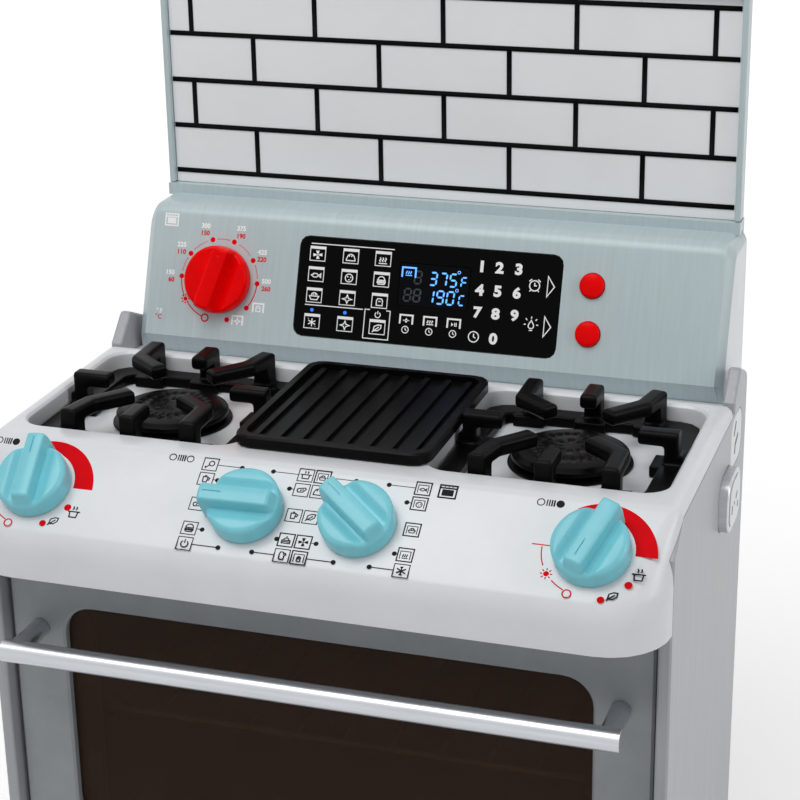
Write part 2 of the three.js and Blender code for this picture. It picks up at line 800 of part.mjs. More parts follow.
// Distances from the end at which the console's section changes.
function consoleSteps() {
  const steps = [0];
  for (let i = 1; i <= fineArc; i++) {
    const angle = ((i / fineArc) * Math.PI) / 2;
    steps.push(consoleBox.cornerRound * (1 - Math.cos(angle)));
  }
  const sorted = [...steps, consoleBox.bevel].sort((one, other) => one - other);
  return sorted.filter((step, i) => i === 0 || step - sorted[i - 1] > gap);
}

function consoleForm() {
  const steps = consoleSteps();
  const ring = (distance, sign) =>
    consoleSection(Math.max(consoleBox.bevel - distance, 0), cornerDrop(distance)).map(
      ([y, z]) => new THREE.Vector3(sign * (consoleHalf - distance), y, z),
    );
  const left = steps.map((distance) => ring(distance, -1));
  const right = steps.map((distance) => ring(distance, 1)).reverse();
  return loft([...left, ...right]);
}

function makeConsoleShell() {
  const section = inset(consoleSection(consoleBox.bevel, 0), wall);
  const hollow = section.map(([y, z]) => [y > coverFront - 2 * wall ? coverFront + overrun : y, z]);
  const reach = consoleHalf - wall;
  const inside = prismAlongX(hollow, -reach, reach, consoleBox.bevel);
  const stepHalf = consoleHalf - consoleBox.stepInset;
  const step = block(-stepHalf, stepHalf, splashFront - consoleBox.stepFront, coverFront - gap, ledge - wall / 2, ledgeTop);
  const pocket = roundedPlate(
    2 * (displayHalf + display.fit),
    display.height + 2 * display.fit,
    display.corner + display.fit,
    -display.pocket,
    overrun,
  ).translate(display.across, display.up, 0);
  const through = -consoleBox.bevel - 2 * wall;
  const dialHole = bar(knob.stem + knob.stemPlay, through, overrun).translate(-dialAcross, dial.up, 0);
  const buttonHoles = [pushButton.upperUp, pushButton.lowerUp].map((up) =>
    bar(pushButton.radius + pushButton.fit, through, overrun, roundSides).translate(buttonAcross, up, 0),
  );
  const tools = [pocket, dialHole, ...buttonHoles].map((tool) => tool.applyMatrix4(consoleFrame));
  const posts = boardPosts().map((post) => post.applyMatrix4(consoleFrame));
  return cut(join(cut(consoleForm(), inside), step, ...posts), ...tools);
}

// Posts behind the console's face that carry the control board.
function boardPosts() {
  const across = boardHalf - board.postInset;
  const reach = board.height / 2 - board.postInset;
  const places = [[-across, -reach], [across, -reach], [-across, reach], [across, reach]];
  const top = -consoleBox.bevel - wall / 2;
  return places.map(([x, up]) => bar(board.postRadius, boardTop + gap, top).translate(x, board.up + up, 0));
}

// The console's rear cover, with slots for the speaker.
function makeConsoleBack() {
  const outline = [new THREE.Vector2(-consoleHalf, consoleBottom), new THREE.Vector2(consoleHalf, consoleBottom)];
  const steps = consoleSteps();
  steps.forEach((d) => outline.push(new THREE.Vector2(consoleHalf - d, ledge - cornerDrop(d))));
  steps.reverse().forEach((d) => outline.push(new THREE.Vector2(d - consoleHalf, ledge - cornerDrop(d))));
  const stepHalf = consoleHalf - consoleBox.stepInset;
  const step = block(-stepHalf, stepHalf, coverFront, back, ledge - wall, ledgeTop);
  const cover = join(uprightPlate(outline, coverFront, back), step);
  const slots = [];
  for (let i = 0; i < soundSlot.count; i++) {
    const z = speakerHeight + (i - (soundSlot.count - 1) / 2) * soundSlot.pitch;
    slots.push(
      block(
        speakerAcross - soundSlot.length / 2,
        speakerAcross + soundSlot.length / 2,
        coverFront - overrun,
        back + overrun,
        z - soundSlot.width / 2,
        z + soundSlot.width / 2,
      ),
    );
  }
  return cut(cover, ...slots);
}

function makeDisplay() {
  const seat = -display.pocket + gap;
  const panel = roundedPlate(2 * displayHalf, display.height, display.corner, seat, seat + display.thickness);
  const recess = roundedPlate(
    screen.width + 2 * screen.fit,
    screen.height + 2 * screen.fit,
    screen.corner,
    seat + display.thickness - screen.thickness - gap,
    overrun,
  ).translate(screen.across - display.across, screen.up - display.up, 0);
  return cut(panel, recess);
}

function makeScreen() {
  const top = -display.pocket + gap + display.thickness;
  return roundedPlate(screen.width, screen.height, screen.corner, top - screen.thickness, top);
}

// A push button: a domed cap through the face and a flange behind it.
function makePushButton() {
  const behind = -consoleBox.bevel - wall - gap;
  return turned([
    [0, behind - pushButton.flangeThickness],
    [pushButton.flange, behind - pushButton.flangeThickness],
    [pushButton.flange, behind],
    [pushButton.radius, behind],
    [pushButton.radius, pushButton.proud - pushButton.dome],
    [pushButton.radius - pushButton.dome / 2, pushButton.proud - pushButton.dome / 2],
    [pushButton.radius - 2 * pushButton.dome, pushButton.proud],
    [0, pushButton.proud + pushButton.dome / 2],
  ], roundSides / 2);
}

function makeMat() {
  return roundedPlate(mat.width, mat.height, mat.width / 4, matFront - mat.thickness, matFront);
}

function makeBoard() {
  const x = boardHalf;
  const y = board.height / 2;
  return block(-x, x, -y, y, boardTop - board.thickness, boardTop);
}

function makeDialSwitch() {
  const top = -consoleBox.bevel - wall - gap;
  const bottom = top - dialSwitch.thickness;
  const s = dialSwitch.side / 2;
  return cut(block(-s, s, -s, s, bottom, top), bar(knob.stem + gap, bottom - overrun, top + overrun));
}

function makeSpeaker() {
  const cone = speaker.frame;
  return turned([
    [0, 0],
    [speaker.radius, 0],
    [speaker.radius, -cone],
    [speaker.magnet, -cone - speaker.magnetDepth / 3],
    [speaker.magnet, -cone - speaker.magnetDepth],
    [0, -cone - speaker.magnetDepth],
  ].reverse(), smallSides);
}

// The backsplash frame: two posts and a top bar, with a lip behind the panel.
function makeSplashFrame() {
  const foot = ledgeTop + gap;
  const top = splashTop + splash.topBar;
  const x = consoleHalf - splash.sideInset;
  const y0 = splashFront - (splash.postDepth - splash.lipDepth - splash.thickness) / 2;
  const outer = roundedOutline(2 * x, 2 * (top - foot), splash.corner, coarseArc);
  const body = uprightPlate(shifted(outer, 0, foot), y0, y0 + splash.postDepth);
  const below = block(-half, half, y0 - overrun, back + overrun, foot - 2 * (top - foot), foot);
  const throughWidth = x - splash.postWidth - splash.lip;
  const through = block(-throughWidth, throughWidth, y0 - overrun, back + overrun, foot - overrun, splashTop - splash.lip);
  const rebateWidth = x - splash.postWidth;
  const rebate = block(-rebateWidth, rebateWidth, y0 - overrun, splashFront + splash.thickness + gap, foot - overrun, splashTop);
  return cut(body, below, through, rebate);
}

const panelHalf = consoleHalf - splash.sideInset - splash.postWidth - gap;

function makeSplashPanel() {
  return block(
    -panelHalf,
    panelHalf,
    splashFront,
    splashFront + splash.thickness,
    ledgeTop + gap,
    splashTop - gap,
  );
}

// The dark joints of the tile pattern, in a running bond.
function makeTileLines() {
  const reach = panelHalf - tile.endGap;
  const y0 = splashFront - tile.thickness;
  const w = tile.line / 2;
  const pieces = [];
  for (let row = 0; row <= tile.rows; row++) {
    const z = ledgeTop + tile.firstLine + row * tile.row;
    pieces.push(block(-reach, reach, y0, splashFront, z - w, z + w));
    if (row === tile.rows) {
      break;
    }
    const start = row % 2 ? 0 : tile.pitch / 2;
    for (let x = start; x < reach; x += tile.pitch) {
      pieces.push(block(x - w, x + w, y0, splashFront, z, z + tile.row));
      if (x > 0) {
        pieces.push(block(-x - w, -x + w, y0, splashFront, z, z + tile.row));
      }
    }
  }
  return join(...pieces);
}

// An outline of (y, z, radius) corners, with each corner that has a radius rounded.
function softened(corners) {
  return corners.flatMap(([y, z, radius], i) => {
    if (!radius) {
      return [[y, z]];
    }
    const corner = new THREE.Vector2(y, z);
    const [beforeY, beforeZ] = corners[(i + corners.length - 1) % corners.length];
    const [afterY, afterZ] = corners[(i + 1) % corners.length];
    const one = new THREE.Vector2(beforeY, beforeZ).sub(corner).normalize();
    const two = new THREE.Vector2(afterY, afterZ).sub(corner).normalize();
    const wedge = Math.acos(one.dot(two)) / 2;
    const centre = corner.clone().addScaledVector(one.clone().add(two).normalize(), radius / Math.sin(wedge));
    const from = corner.clone().addScaledVector(one, radius / Math.tan(wedge)).sub(centre);
    const points = [];
    for (let k = 0; k <= fineArc; k++) {
      const turn = (k / fineArc) * (Math.PI - 2 * wedge);
      const p = from.clone().rotateAround(new THREE.Vector2(), turn).add(centre);
      points.push([p.x, p.y]);
    }
    return points;
  });
}

// The outline of a side panel in Y and Z, with the ear that rises beside the console.
function sideOutline() {
  const backEdge = deckBack + side.behindDeck;
  const earFoot = deckBack + 2 * gap;
  return softened([
    [sideFront, foot.height, 0],
    [backEdge, foot.height, 0],
    [backEdge, worktopHeight + side.earHeel, side.heelCorner],
    [earFoot + side.earRun, worktopHeight + side.earRise, side.earCorner],
    [earFoot, worktopHeight, 0],
    [earFoot, sideTop, 0],
    [shoulderTop, sideTop, 0],
    [sideFront, shoulder, 0],
  ]);
}

function makeSidePanel(sign) {
  const x0 = sign > 0 ? sideInner : -half;
  const panel = prismAlongX(sideOutline(), x0, x0 + side.thickness, side.edge);
  const pinHole = bar(hinge.radius + hinge.play, 0, 2 * hinge.socket)
    .rotateY(Math.PI / 2)
    .translate(-hinge.socket, 0, 0)
    .translate(sign * sideInner, doorSplit, hingeHeight);
  return cut(panel, pinHole);
}

// A rounded plate that faces +X, between x0 and x1.
function sidewaysPlate(width, height, corner, x0, x1, edge = 0) {
  const turn = new THREE.Matrix4().makeBasis(
    new THREE.Vector3(0, 1, 0),
    new THREE.Vector3(0, 0, 1),
    new THREE.Vector3(1, 0, 0),
  );
  return roundedPlate(width, height, corner, x0, x1, edge, fineArc).applyMatrix4(turn);
}

function makeRightPanel() {
  const buttonPocket = sidewaysPlate(
    sideButton.width + 2 * sideButton.fit,
    sideButton.height + 2 * sideButton.fit,
    sideButton.corner + sideButton.fit,
    half - sideButton.pocket,
    half + overrun,
  ).translate(0, sideButtonAlong, sideButton.up);
  const stemHole = bar(sideButton.stem + sideButton.stemPlay, sideInner - overrun, half)
    .rotateY(Math.PI / 2)
    .translate(0, sideButtonAlong, sideButton.up);
  const platePocket = sidewaysPlate(
    sidePlate.width + 2 * sidePlate.fit,
    sidePlate.height + 2 * sidePlate.fit,
    sidePlate.corner + sidePlate.fit,
    half - sidePlate.pocket,
    half + overrun,
  ).translate(0, sidePlateAlong, sidePlate.up);
  return cut(makeSidePanel(1), buttonPocket, stemHole, platePocket);
}

function makeSideButton() {
  const inner = half - sideButton.sink;
  const cap = sidewaysPlate(
    sideButton.width,
    sideButton.height,
    sideButton.corner,
    inner,
    half + sideButton.proud,
    sideButton.edge,
  );
  const stem = bar(sideButton.stem, inner - sideButton.stemLength, inner + wall).rotateY(Math.PI / 2);
  return join(cap, stem).translate(0, sideButtonAlong, sideButton.up);
}

function makeSideLabel() {
  const x0 = half + sideButton.proud;
  return sidewaysPlate(
    sideButton.width - 2 * sideLabel.inset,
    sideButton.height - 2 * sideLabel.inset,
    sideButton.corner - sideLabel.inset / 2,
    x0,
    x0 + sideLabel.thickness,
  ).translate(0, sideButtonAlong, sideButton.up);
}

function makeSidePlate() {
  const x0 = half - sidePlate.pocket + gap;
  return sidewaysPlate(
    sidePlate.width,
    sidePlate.height,
    sidePlate.corner,
    x0,
    x0 + sidePlate.thickness,
  ).translate(0, sidePlateAlong, sidePlate.up);
}

// The base: a shallow tray between the side panels.
function makeBase() {
  const x = sideInner - gap;
  const y0 = front + base.frontSetback;
  const y1 = back - base.rearSetback;
  const outside = block(-x, x, y0, y1, foot.height, baseTop);
  const inside = block(
    -x + base.wall,
    x - base.wall,
    y0 + base.wall,
    y1 - base.wall,
    foot.height + base.wall,
    baseTop + overrun,
  );
  return cut(outside, inside);
}

function screwPlaces() {
  const x = rearHalf - screw.insetAcross;
  const low = baseTop + gap + screw.insetUp;
  const high = rearTop - screw.insetUp;
  return [[-x, low], [x, low], [-x, high], [x, high]];
}

// A hole along Y from y0 to y1.
function holeAlongY(radius, x, z, y0, y1) {
  return bar(radius, y0, y1).rotateX(-Math.PI / 2).translate(x, 0, z);
}

// The rear cover: a tray open to the front, with the battery door's opening in its back.
function makeRearCover() {
  const x = rearHalf;
  const outside = block(-x, x, rearFront, back, baseTop + gap, rearTop);
  const inside = block(-x + wall, x - wall, rearFront - overrun, back - wall, baseTop + gap + wall, rearTop - wall);
  const doorway = uprightPlate(
    shifted(
      roundedOutline(batteryBox.width, batteryBox.height, batteryDoor.corner, coarseArc),
      0,
      batteryBox.up + batteryBox.height / 2,
    ),
    back - 2 * wall,
    back + overrun,
  );
  const rebate = uprightPlate(
    shifted(
      roundedOutline(
        batteryBox.width + 2 * batteryDoor.lap + 2 * batteryDoor.fit,
        batteryBox.height + 2 * batteryDoor.lap + 2 * batteryDoor.fit,
        batteryDoor.corner + batteryDoor.lap,
        coarseArc,
      ),
      0,
      batteryBox.up + batteryBox.height / 2,
    ),
    back - batteryDoor.thickness,
    back + overrun,
  );
  const holes = screwPlaces().map(([sx, sz]) => holeAlongY(screw.shank + screw.play, sx, sz, back - 2 * wall, back + overrun));
  const heads = screwPlaces().map(([sx, sz]) =>
    holeAlongY(screw.radius + screw.play, sx, sz, back - screw.headHeight - gap, back + overrun),
  );
  return cut(cut(outside, inside), doorway, rebate, ...holes, ...heads);
}

function makeScrew() {
  const profile = [
    [0, -screw.length],
    [screw.shank, -screw.length],
    [screw.shank, -screw.headHeight],
    [screw.radius, -screw.headHeight],
    [screw.radius, 0],
    [0, 0],
  ];
  return turned(profile, smallSides).rotateX(-Math.PI / 2);
}

function makeBatteryBox() {
  const x = batteryBox.width / 2;
  const z0 = batteryBox.up;
  const z1 = batteryBox.up + batteryBox.height;
  const y1 = back - wall - gap;
  const y0 = y1 - batteryBox.depth;
  const w = batteryBox.wall;
  const outside = block(-x - w, x + w, y0 - w, y1, z0 - w, z1 + w);
  return cut(outside, block(-x, x, y0, y1 + overrun, z0, z1));
}

function makeBatteryDoor() {
  const outline = roundedOutline(
    batteryBox.width + 2 * batteryDoor.lap,
    batteryBox.height + 2 * batteryDoor.lap,
    batteryDoor.corner + batteryDoor.lap,
    coarseArc,
  );
  const middle = batteryBox.up + batteryBox.height / 2;
  return uprightPlate(shifted(outline, 0, middle), back - batteryDoor.thickness + gap, back);
}

function openingOutline(width, bottom, top, corner) {
  return shifted(roundedOutline(width, top - bottom, corner, fineArc), 0, (bottom + top) / 2);
}

// The front frame round the oven's mouth: it carries the wells and stands in the base.
function makeFrontFrame() {
  const x = sideInner - gap;
  const body = block(-x, x, frameFront, frameBack, baseTop + gap, wellFloor - wall - gap);
  const tongueHalf = x - base.wall - gap;
  const tongue = block(-tongueHalf, tongueHalf, frameFront, frameBack, trayFloor + gap, baseTop + overrun);
  const mouth = openingOutline(2 * openingHalf, opening.bottom, opening.top, opening.corner);
  return cut(join(body, tongue), uprightPlate(mouth, frameFront - overrun, frameBack + overrun));
}

// The oven's liner: a box open to the front, with a rib on each side that carries the rack.
function makeLiner() {
  const w = liner.wall;
  const outside = block(
    -linerHalf - w,
    linerHalf + w,
    linerFront,
    linerBack,
    linerFloor - w,
    linerCeiling + w,
  );
  const inside = block(
    -linerHalf,
    linerHalf,
    linerFront - overrun,
    linerBack - w,
    linerFloor,
    linerCeiling,
  );
  const z = linerFloor + liner.ribUp;
  const ribs = [-1, 1].map((sign) => {
    const outer = sign * (linerHalf + w / 2);
    const inner = sign * (linerHalf - liner.ribDepth);
    return block(
      Math.min(outer, inner),
      Math.max(outer, inner),
      linerFront + w,
      linerBack - w / 2,
      z - liner.ribHeight,
      z,
    );
  });
  return join(cut(outside, inside), ...ribs);
}

// The rack: a wire frame with cross wires, on the liner's ribs.
function makeRack() {
  const z = linerFloor + liner.ribUp + gap + rack.frameWire;
  const x = linerHalf - rack.sideGap - rack.frameWire;
  const y0 = linerFront + rack.frontGap;
  const y1 = linerBack - liner.wall - rack.backGap;
  const along = (radius, px, from, to) => bar(radius, from, to, coarseArc * 2).rotateX(-Math.PI / 2).translate(px, 0, z);
  const across = (radius, py) => bar(radius, -x, x, coarseArc * 2).rotateY(Math.PI / 2).translate(0, py, z);
  const pieces = [
    along(rack.frameWire, -x, y0 - rack.frameWire, y1 + rack.frameWire),
    along(rack.frameWire, x, y0 - rack.frameWire, y1 + rack.frameWire),
    across(rack.frameWire, y0),
    across(rack.frameWire, y1),
  ];
  for (let i = 1; i <= rack.wires; i++) {
    pieces.push(along(rack.wire, -x + (2 * x * i) / (rack.wires + 1), y0, y1));
  }
  return join(...pieces);
}

function windowOutline(grow) {
  return openingOutline(
    2 * (windowHalf + grow),
    windowBottom - grow,
    windowTop + grow,
    door.windowCorner + grow,
  );
}

function pinBore(sign) {
  return bar(hinge.radius + hinge.play, -overrun, hinge.engage + hinge.play)
    .rotateY(-sign * (Math.PI / 2))
    .translate(sign * doorHalf, doorSplit, hingeHeight);
}

// The door's front: a frame round the window, with a rebate for the glass.
function makeDoorFront() {
  const outline = openingOutline(2 * doorHalf, door.bottom, door.top, door.corner);
  const body = uprightPlate(outline, doorFront, doorSplit - gap / 2, door.edge, [windowOutline(0)]);
  const rebate = uprightPlate(windowOutline(door.glassLap + gap), doorSplit - door.glass - gap, doorSplit + overrun);
  return cut(body, rebate, pinBore(-1), pinBore(1));
}

function makeDoorGlass() {
  return uprightPlate(windowOutline(door.glassLap), doorSplit - door.glass, doorSplit - gap / 2);
}

// The door's back: it holds the glass in, and carries the other half of the hinge bores.
function makeDoorBack() {
  const outline = openingOutline(2 * (doorHalf - gap), door.bottom + gap, door.top - gap, door.corner);
  const body = uprightPlate(outline, doorSplit + gap / 2, doorBack, door.edge / 2, [windowOutline(0)]);
  return cut(body, pinBore(-1), pinBore(1));
}

function makeHingePin(sign) {
  const length = hinge.engage + (sideInner - doorHalf) + hinge.socket - gap;
  return bar(hinge.radius, 0, length)
    .rotateY(sign * (Math.PI / 2))
    .translate(sign * (doorHalf - hinge.engage), doorSplit, hingeHeight);
}

// The door handle: a round bar on two posts.
function makeHandle() {
  const z = door.bottom + handle.up;
  const y = doorFront - handle.standoff;
  const end = handleAcross + handle.overhang;
  const grip = bar(handle.radius, -end, end, smallSides).rotateY(Math.PI / 2).translate(0, y, z);
  const posts = [-1, 1].map((sign) => holeAlongY(handle.postRadius, sign * handleAcross, z, y, doorFront - gap));
  return join(grip, ...posts);
}

const toy = new THREE.Group();

function add(parent, name, geometry, material) {
  const mesh = new THREE.Mesh(geometry, material);
  mesh.name = name;
  parent.add(mesh);
  return mesh;
}

// Body.
add(toy, "worktop", makeWorktop(), paint.white);
add(toy, "side_panel_left", makeSidePanel(-1), paint.sideGrey);
add(toy, "side_panel_right", makeRightPanel(), paint.sideGrey);
add(toy, "base_tray", makeBase(), paint.innerGrey);
add(toy, "rear_cover", makeRearCover(), paint.innerGrey);
add(toy, "front_frame", makeFrontFrame(), paint.sideGrey);
add(toy, "oven_liner", makeLiner(), paint.darkLiner);
add(toy, "oven_rack", makeRack(), paint.steel);
add(toy, "battery_box", makeBatteryBox(), paint.innerGrey);
add(toy, "battery_door", makeBatteryDoor(), paint.innerGrey);
screwPlaces().forEach(([x, z], i) => {
  add(toy, `rear_screw_${i + 1}`, makeScrew(), paint.steel).position.set(x, back - gap / 2, z);
});
const footPlaces = [[-1, -1], [1, -1], [-1, 1], [1, 1]];
footPlaces.forEach(([sx, sy], i) => {
  const y = sy < 0 ? front + base.frontSetback + foot.inset : back - base.rearSetback - foot.inset;
  const pad = add(toy, `foot_${i + 1}`, bar(foot.radius, 0, foot.height - gap, smallSides), paint.rubber);
  pad.position.set(sx * (sideInner - foot.inset), y, 0);
});

// Side button and label plate.
add(toy, "side_button", makeSideButton(), paint.sideGrey);
add(toy, "side_button_label", makeSideLabel(), paint.white);
add(toy, "side_plate", makeSidePlate(), paint.white);

// Hobs and griddle.
[["left", -1], ["right", 1]].forEach(([name, sign]) => {
  const hob = new THREE.Group();
  hob.position.set(sign > 0 ? wellSpread : leftWell, wellMiddle, wellFloor + gap);
  add(hob, `burner_${name}`, makeBurner(), paint.iron);
  add(hob, `grate_${name}`, makeGrate(), paint.iron);
  toy.add(hob);
});
const griddlePlate = add(toy, "griddle", makeGriddle(), paint.iron);
griddlePlate.position.set(0, fasciaTop + griddle.front + wellDepth / 2, worktopHeight + gap);

// Knobs on the sloped fascia, each with a click wheel behind it.
const fasciaGroup = new THREE.Group();
fasciaGroup.position.set(0, fasciaTop, worktopHeight);
fasciaGroup.rotation.x = fasciaTilt;
knobPlaces.forEach((x, i) => {
  const turning = new THREE.Group();
  turning.position.set(x, -knob.down, 0);
  turning.rotation.z = (knobTurnsDegrees[i] * Math.PI) / 180;
  add(turning, `knob_${i + 1}`, makeKnob(knob), paint.turquoise);
  add(turning, `click_wheel_${i + 1}`, makeDetent(), paint.innerGrey);
  fasciaGroup.add(turning);
});
toy.add(fasciaGroup);

// Console and what its face carries.
add(toy, "console_shell", makeConsoleShell(), paint.consoleGrey);
add(toy, "console_back", makeConsoleBack(), paint.consoleGrey);
const face = new THREE.Group();
face.position.set(0, consoleFoot, worktopHeight);
face.rotation.x = consoleTilt;
add(face, "display_panel", makeDisplay(), paint.gloss).position.set(display.across, display.up, 0);
add(face, "display_screen", makeScreen(), paint.screen).position.set(screen.across, screen.up, 0);
const dialTurning = new THREE.Group();
dialTurning.position.set(-dialAcross, dial.up, 0);
dialTurning.rotation.z = (dialTurnDegrees * Math.PI) / 180;
add(dialTurning, "temperature_dial", makeKnob(dial), paint.red);
face.add(dialTurning);
add(face, "dial_switch", makeDialSwitch(), paint.rubber).position.set(-dialAcross, dial.up, 0);
add(face, "button_upper", makePushButton(), paint.red).position.set(buttonAcross, pushButton.upperUp, 0);
add(face, "button_lower", makePushButton(), paint.red).position.set(buttonAcross, pushButton.lowerUp, 0);
const matUp = (pushButton.upperUp + pushButton.lowerUp) / 2;
add(face, "button_mat", makeMat(), paint.rubber).position.set(buttonAcross, matUp, 0);
add(face, "control_board", makeBoard(), paint.board).position.set(0, board.up, 0);
toy.add(face);
const sound = add(toy, "speaker", makeSpeaker(), paint.rubber);
sound.rotation.x = -Math.PI / 2;
sound.position.set(speakerAcross, coverFront - gap, speakerHeight);

// Backsplash.
add(toy, "splash_frame", makeSplashFrame(), paint.consoleGrey);
add(toy, "splash_panel", makeSplashPanel(), paint.tile);
add(toy, "tile_lines", makeTileLines(), paint.line);

// Door, with its glass, handle and hinge pins.
add(toy, "door_front", makeDoorFront(), paint.sideGrey);
add(toy, "door_glass", makeDoorGlass(), paint.smoked);
add(toy, "door_back", makeDoorBack(), paint.innerGrey);
add(toy, "door_handle", makeHandle(), paint.steel);
add(toy, "hinge_pin_left", makeHingePin(-1), paint.steel);
add(toy, "hinge_pin_right", makeHingePin(1), paint.steel);

export default toy;
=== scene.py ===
import math

import bmesh
import bpy
from mathutils import Matrix, Vector


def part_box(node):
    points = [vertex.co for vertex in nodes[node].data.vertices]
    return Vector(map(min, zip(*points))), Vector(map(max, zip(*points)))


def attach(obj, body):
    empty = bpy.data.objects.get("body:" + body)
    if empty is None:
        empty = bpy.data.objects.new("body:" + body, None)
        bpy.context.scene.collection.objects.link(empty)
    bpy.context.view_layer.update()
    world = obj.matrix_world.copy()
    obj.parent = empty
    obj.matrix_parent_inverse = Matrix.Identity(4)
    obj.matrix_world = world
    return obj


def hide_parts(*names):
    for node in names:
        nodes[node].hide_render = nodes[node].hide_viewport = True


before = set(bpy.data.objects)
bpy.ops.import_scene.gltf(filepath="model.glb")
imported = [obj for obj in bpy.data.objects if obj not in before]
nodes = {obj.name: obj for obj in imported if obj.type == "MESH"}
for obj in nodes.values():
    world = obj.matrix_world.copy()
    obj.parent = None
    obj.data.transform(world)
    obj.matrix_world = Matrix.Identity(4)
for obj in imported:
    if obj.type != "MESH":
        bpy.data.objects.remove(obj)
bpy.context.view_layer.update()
scene = bpy.context.scene
MM = 0.001


# ---------------------------------------------------------------- materials

def linear(rgb):
    """A colour written as 0 to 255 values, as the linear colour that a shader takes."""
    def one(v):
        v /= 255
        return v / 12.92 if v <= 0.04045 else ((v + 0.055) / 1.055) ** 2.4
    return tuple(one(v) for v in rgb) + (1.0,)


def shade(rgb, share):
    return tuple(min(255, v * share) for v in rgb)


def material(name, rgb, rough=0.4, vary=0.03, size=0.02, grain=0.0006, bump=0.1,
             depth=0.00003, stretch=(1, 1, 1), rough_vary=0.05, **sockets):
    """A moulded or painted surface: slow colour drift, fine grain in the bump and uneven gloss."""
    mat = bpy.data.materials.new(name)
    mat.use_nodes = True
    tree = mat.node_tree
    new, link = tree.nodes.new, tree.links.new
    shader = tree.nodes["Principled BSDF"]
    coords = new("ShaderNodeTexCoord")
    mapping = new("ShaderNodeMapping")
    mapping.inputs["Scale"].default_value = stretch
    link(coords.outputs["Object"], mapping.inputs["Vector"])

    def noise(feature, detail):
        node = new("ShaderNodeTexNoise")
        node.inputs["Scale"].default_value = 1 / feature
        node.inputs["Detail"].default_value = detail
        node.inputs["Roughness"].default_value = 0.6
        link(mapping.outputs["Vector"], node.inputs["Vector"])
        return node

    drift = noise(size, 5)
    ramp = new("ShaderNodeValToRGB")
    ramp.color_ramp.elements[0].position = 0.3
    ramp.color_ramp.elements[1].position = 0.7
    ramp.color_ramp.elements[0].color = linear(shade(rgb, 1 - vary))
    ramp.color_ramp.elements[1].color = linear(shade(rgb, 1 + vary))
    link(drift.outputs["Fac"], ramp.inputs["Fac"])
    link(ramp.outputs["Color"], shader.inputs["Base Color"])
    fine = noise(grain, 3)
    gloss = new("ShaderNodeMapRange")
    gloss.inputs["To Min"].default_value = max(0.0, rough - rough_vary)
    gloss.inputs["To Max"].default_value = rough + rough_vary
    link(fine.outputs["Fac"], gloss.inputs["Value"])
    link(gloss.outputs["Result"], shader.inputs["Roughness"])
    relief = new("ShaderNodeBump")
    relief.inputs["Strength"].default_value = bump
    relief.inputs["Distance"].default_value = depth
    link(fine.outputs["Fac"], relief.inputs["Height"])
    link(relief.outputs["Normal"], shader.inputs["Normal"])
    for socket, value in sockets.items():
        shader.inputs[socket.replace("_", " ")].default_value = value
    return mat


GREY = (186, 201, 204)
looks = {
    "white_shell": material("white_shell", (224, 226, 229), 0.3, 0.012, 0.05, 0.0007, 0.15),
    "side_grey": material("side_grey", (168, 169, 174), 0.36, 0.03, 0.004, 0.0012, 0.3,
                          0.00008, (1, 1, 0.04)),
    "console_grey": material("console_grey", GREY, 0.3, 0.02, 0.003, 0.001, 0.25,
                             0.00006, (1, 0.05, 0.05)),
    "inner_grey": material("inner_grey", (92, 96, 100), 0.5, 0.05),
    "liner_dark": material("liner_dark", (84, 54, 36), 0.45, 0.1, 0.03, Specular_IOR_Level=0.25),
    "door_grey": material("door_grey", (146, 151, 155), 0.4, 0.03, 0.03),
    "turquoise": material("turquoise", (125, 206, 219), 0.26, 0.02, 0.02, 0.0008, 0.12,
                          Specular_IOR_Level=0.35),
    "red": material("red", (250, 2, 5), 0.2, 0.03, 0.02, 0.0008, 0.1, Specular_IOR_Level=0.06),
    "hob_black": material("hob_black", (9, 7, 8), 0.3, 0.1, 0.012, 0.0007, 0.4, 0.00005,
                          Specular_IOR_Level=0.07),
    "display_black": material("display_black", (4, 4, 5), 0.16, 0.12, 0.02, Specular_IOR_Level=0.04),
    "screen": material("screen", (3, 4, 7), 0.16, 0.2, 0.01, Specular_IOR_Level=0.05),
    "window_smoke": material("window_smoke", (120, 96, 80), 0.06, 0.04, 0.03, Specular_IOR_Level=0.12,
                             Transmission_Weight=0.85, IOR=1.12),
    "tile_white": material("tile_white", (240, 241, 243), 0.14, 0.008, 0.06, 0.002, 0.1),
    "line_black": material("line_black", (10, 10, 11), 0.5, 0.1, Specular_IOR_Level=0.05),
    "rubber_dark": material("rubber_dark", (38, 38, 40), 0.75, 0.1, 0.004, 0.0005, 0.6),
    "board_green": material("board_green", (26, 92, 52), 0.45, 0.12, 0.006),
    "steel": material("steel", (170, 172, 175), 0.28, 0.05, 0.004, 0.0006, 0.2, Metallic=1.0),
    "silver": material("silver", (196, 199, 204), 0.3, 0.03, 0.004, 0.0012, 0.25,
                       0.00004, (0.06, 1, 1), Metallic=0.85),
}


def end_colour(mat, across, rgb):
    """Another colour for the end faces that lie further out than a distance from the middle."""
    tree = mat.node_tree
    new, link = tree.nodes.new, tree.links.new
    shader = tree.nodes["Principled BSDF"]
    split = new("ShaderNodeSeparateXYZ")
    link(new("ShaderNodeTexCoord").outputs["Object"], split.inputs["Vector"])
    away = new("ShaderNodeMath")
    away.operation = "ABSOLUTE"
    link(split.outputs["X"], away.inputs[0])
    past = new("ShaderNodeMath")
    past.operation = "GREATER_THAN"
    past.inputs[1].default_value = across * MM
    link(away.outputs[0], past.inputs[0])
    mix = new("ShaderNodeMix")
    mix.data_type = "RGBA"
    link(past.outputs[0], mix.inputs["Factor"])
    link(shader.inputs["Base Color"].links[0].from_socket, mix.inputs[6])
    mix.inputs[7].default_value = linear(rgb)
    link(mix.outputs[2], shader.inputs["Base Color"])


CONSOLE_HALF = 260
end_colour(looks["console_grey"], CONSOLE_HALF - 0.3, (226, 227, 232))


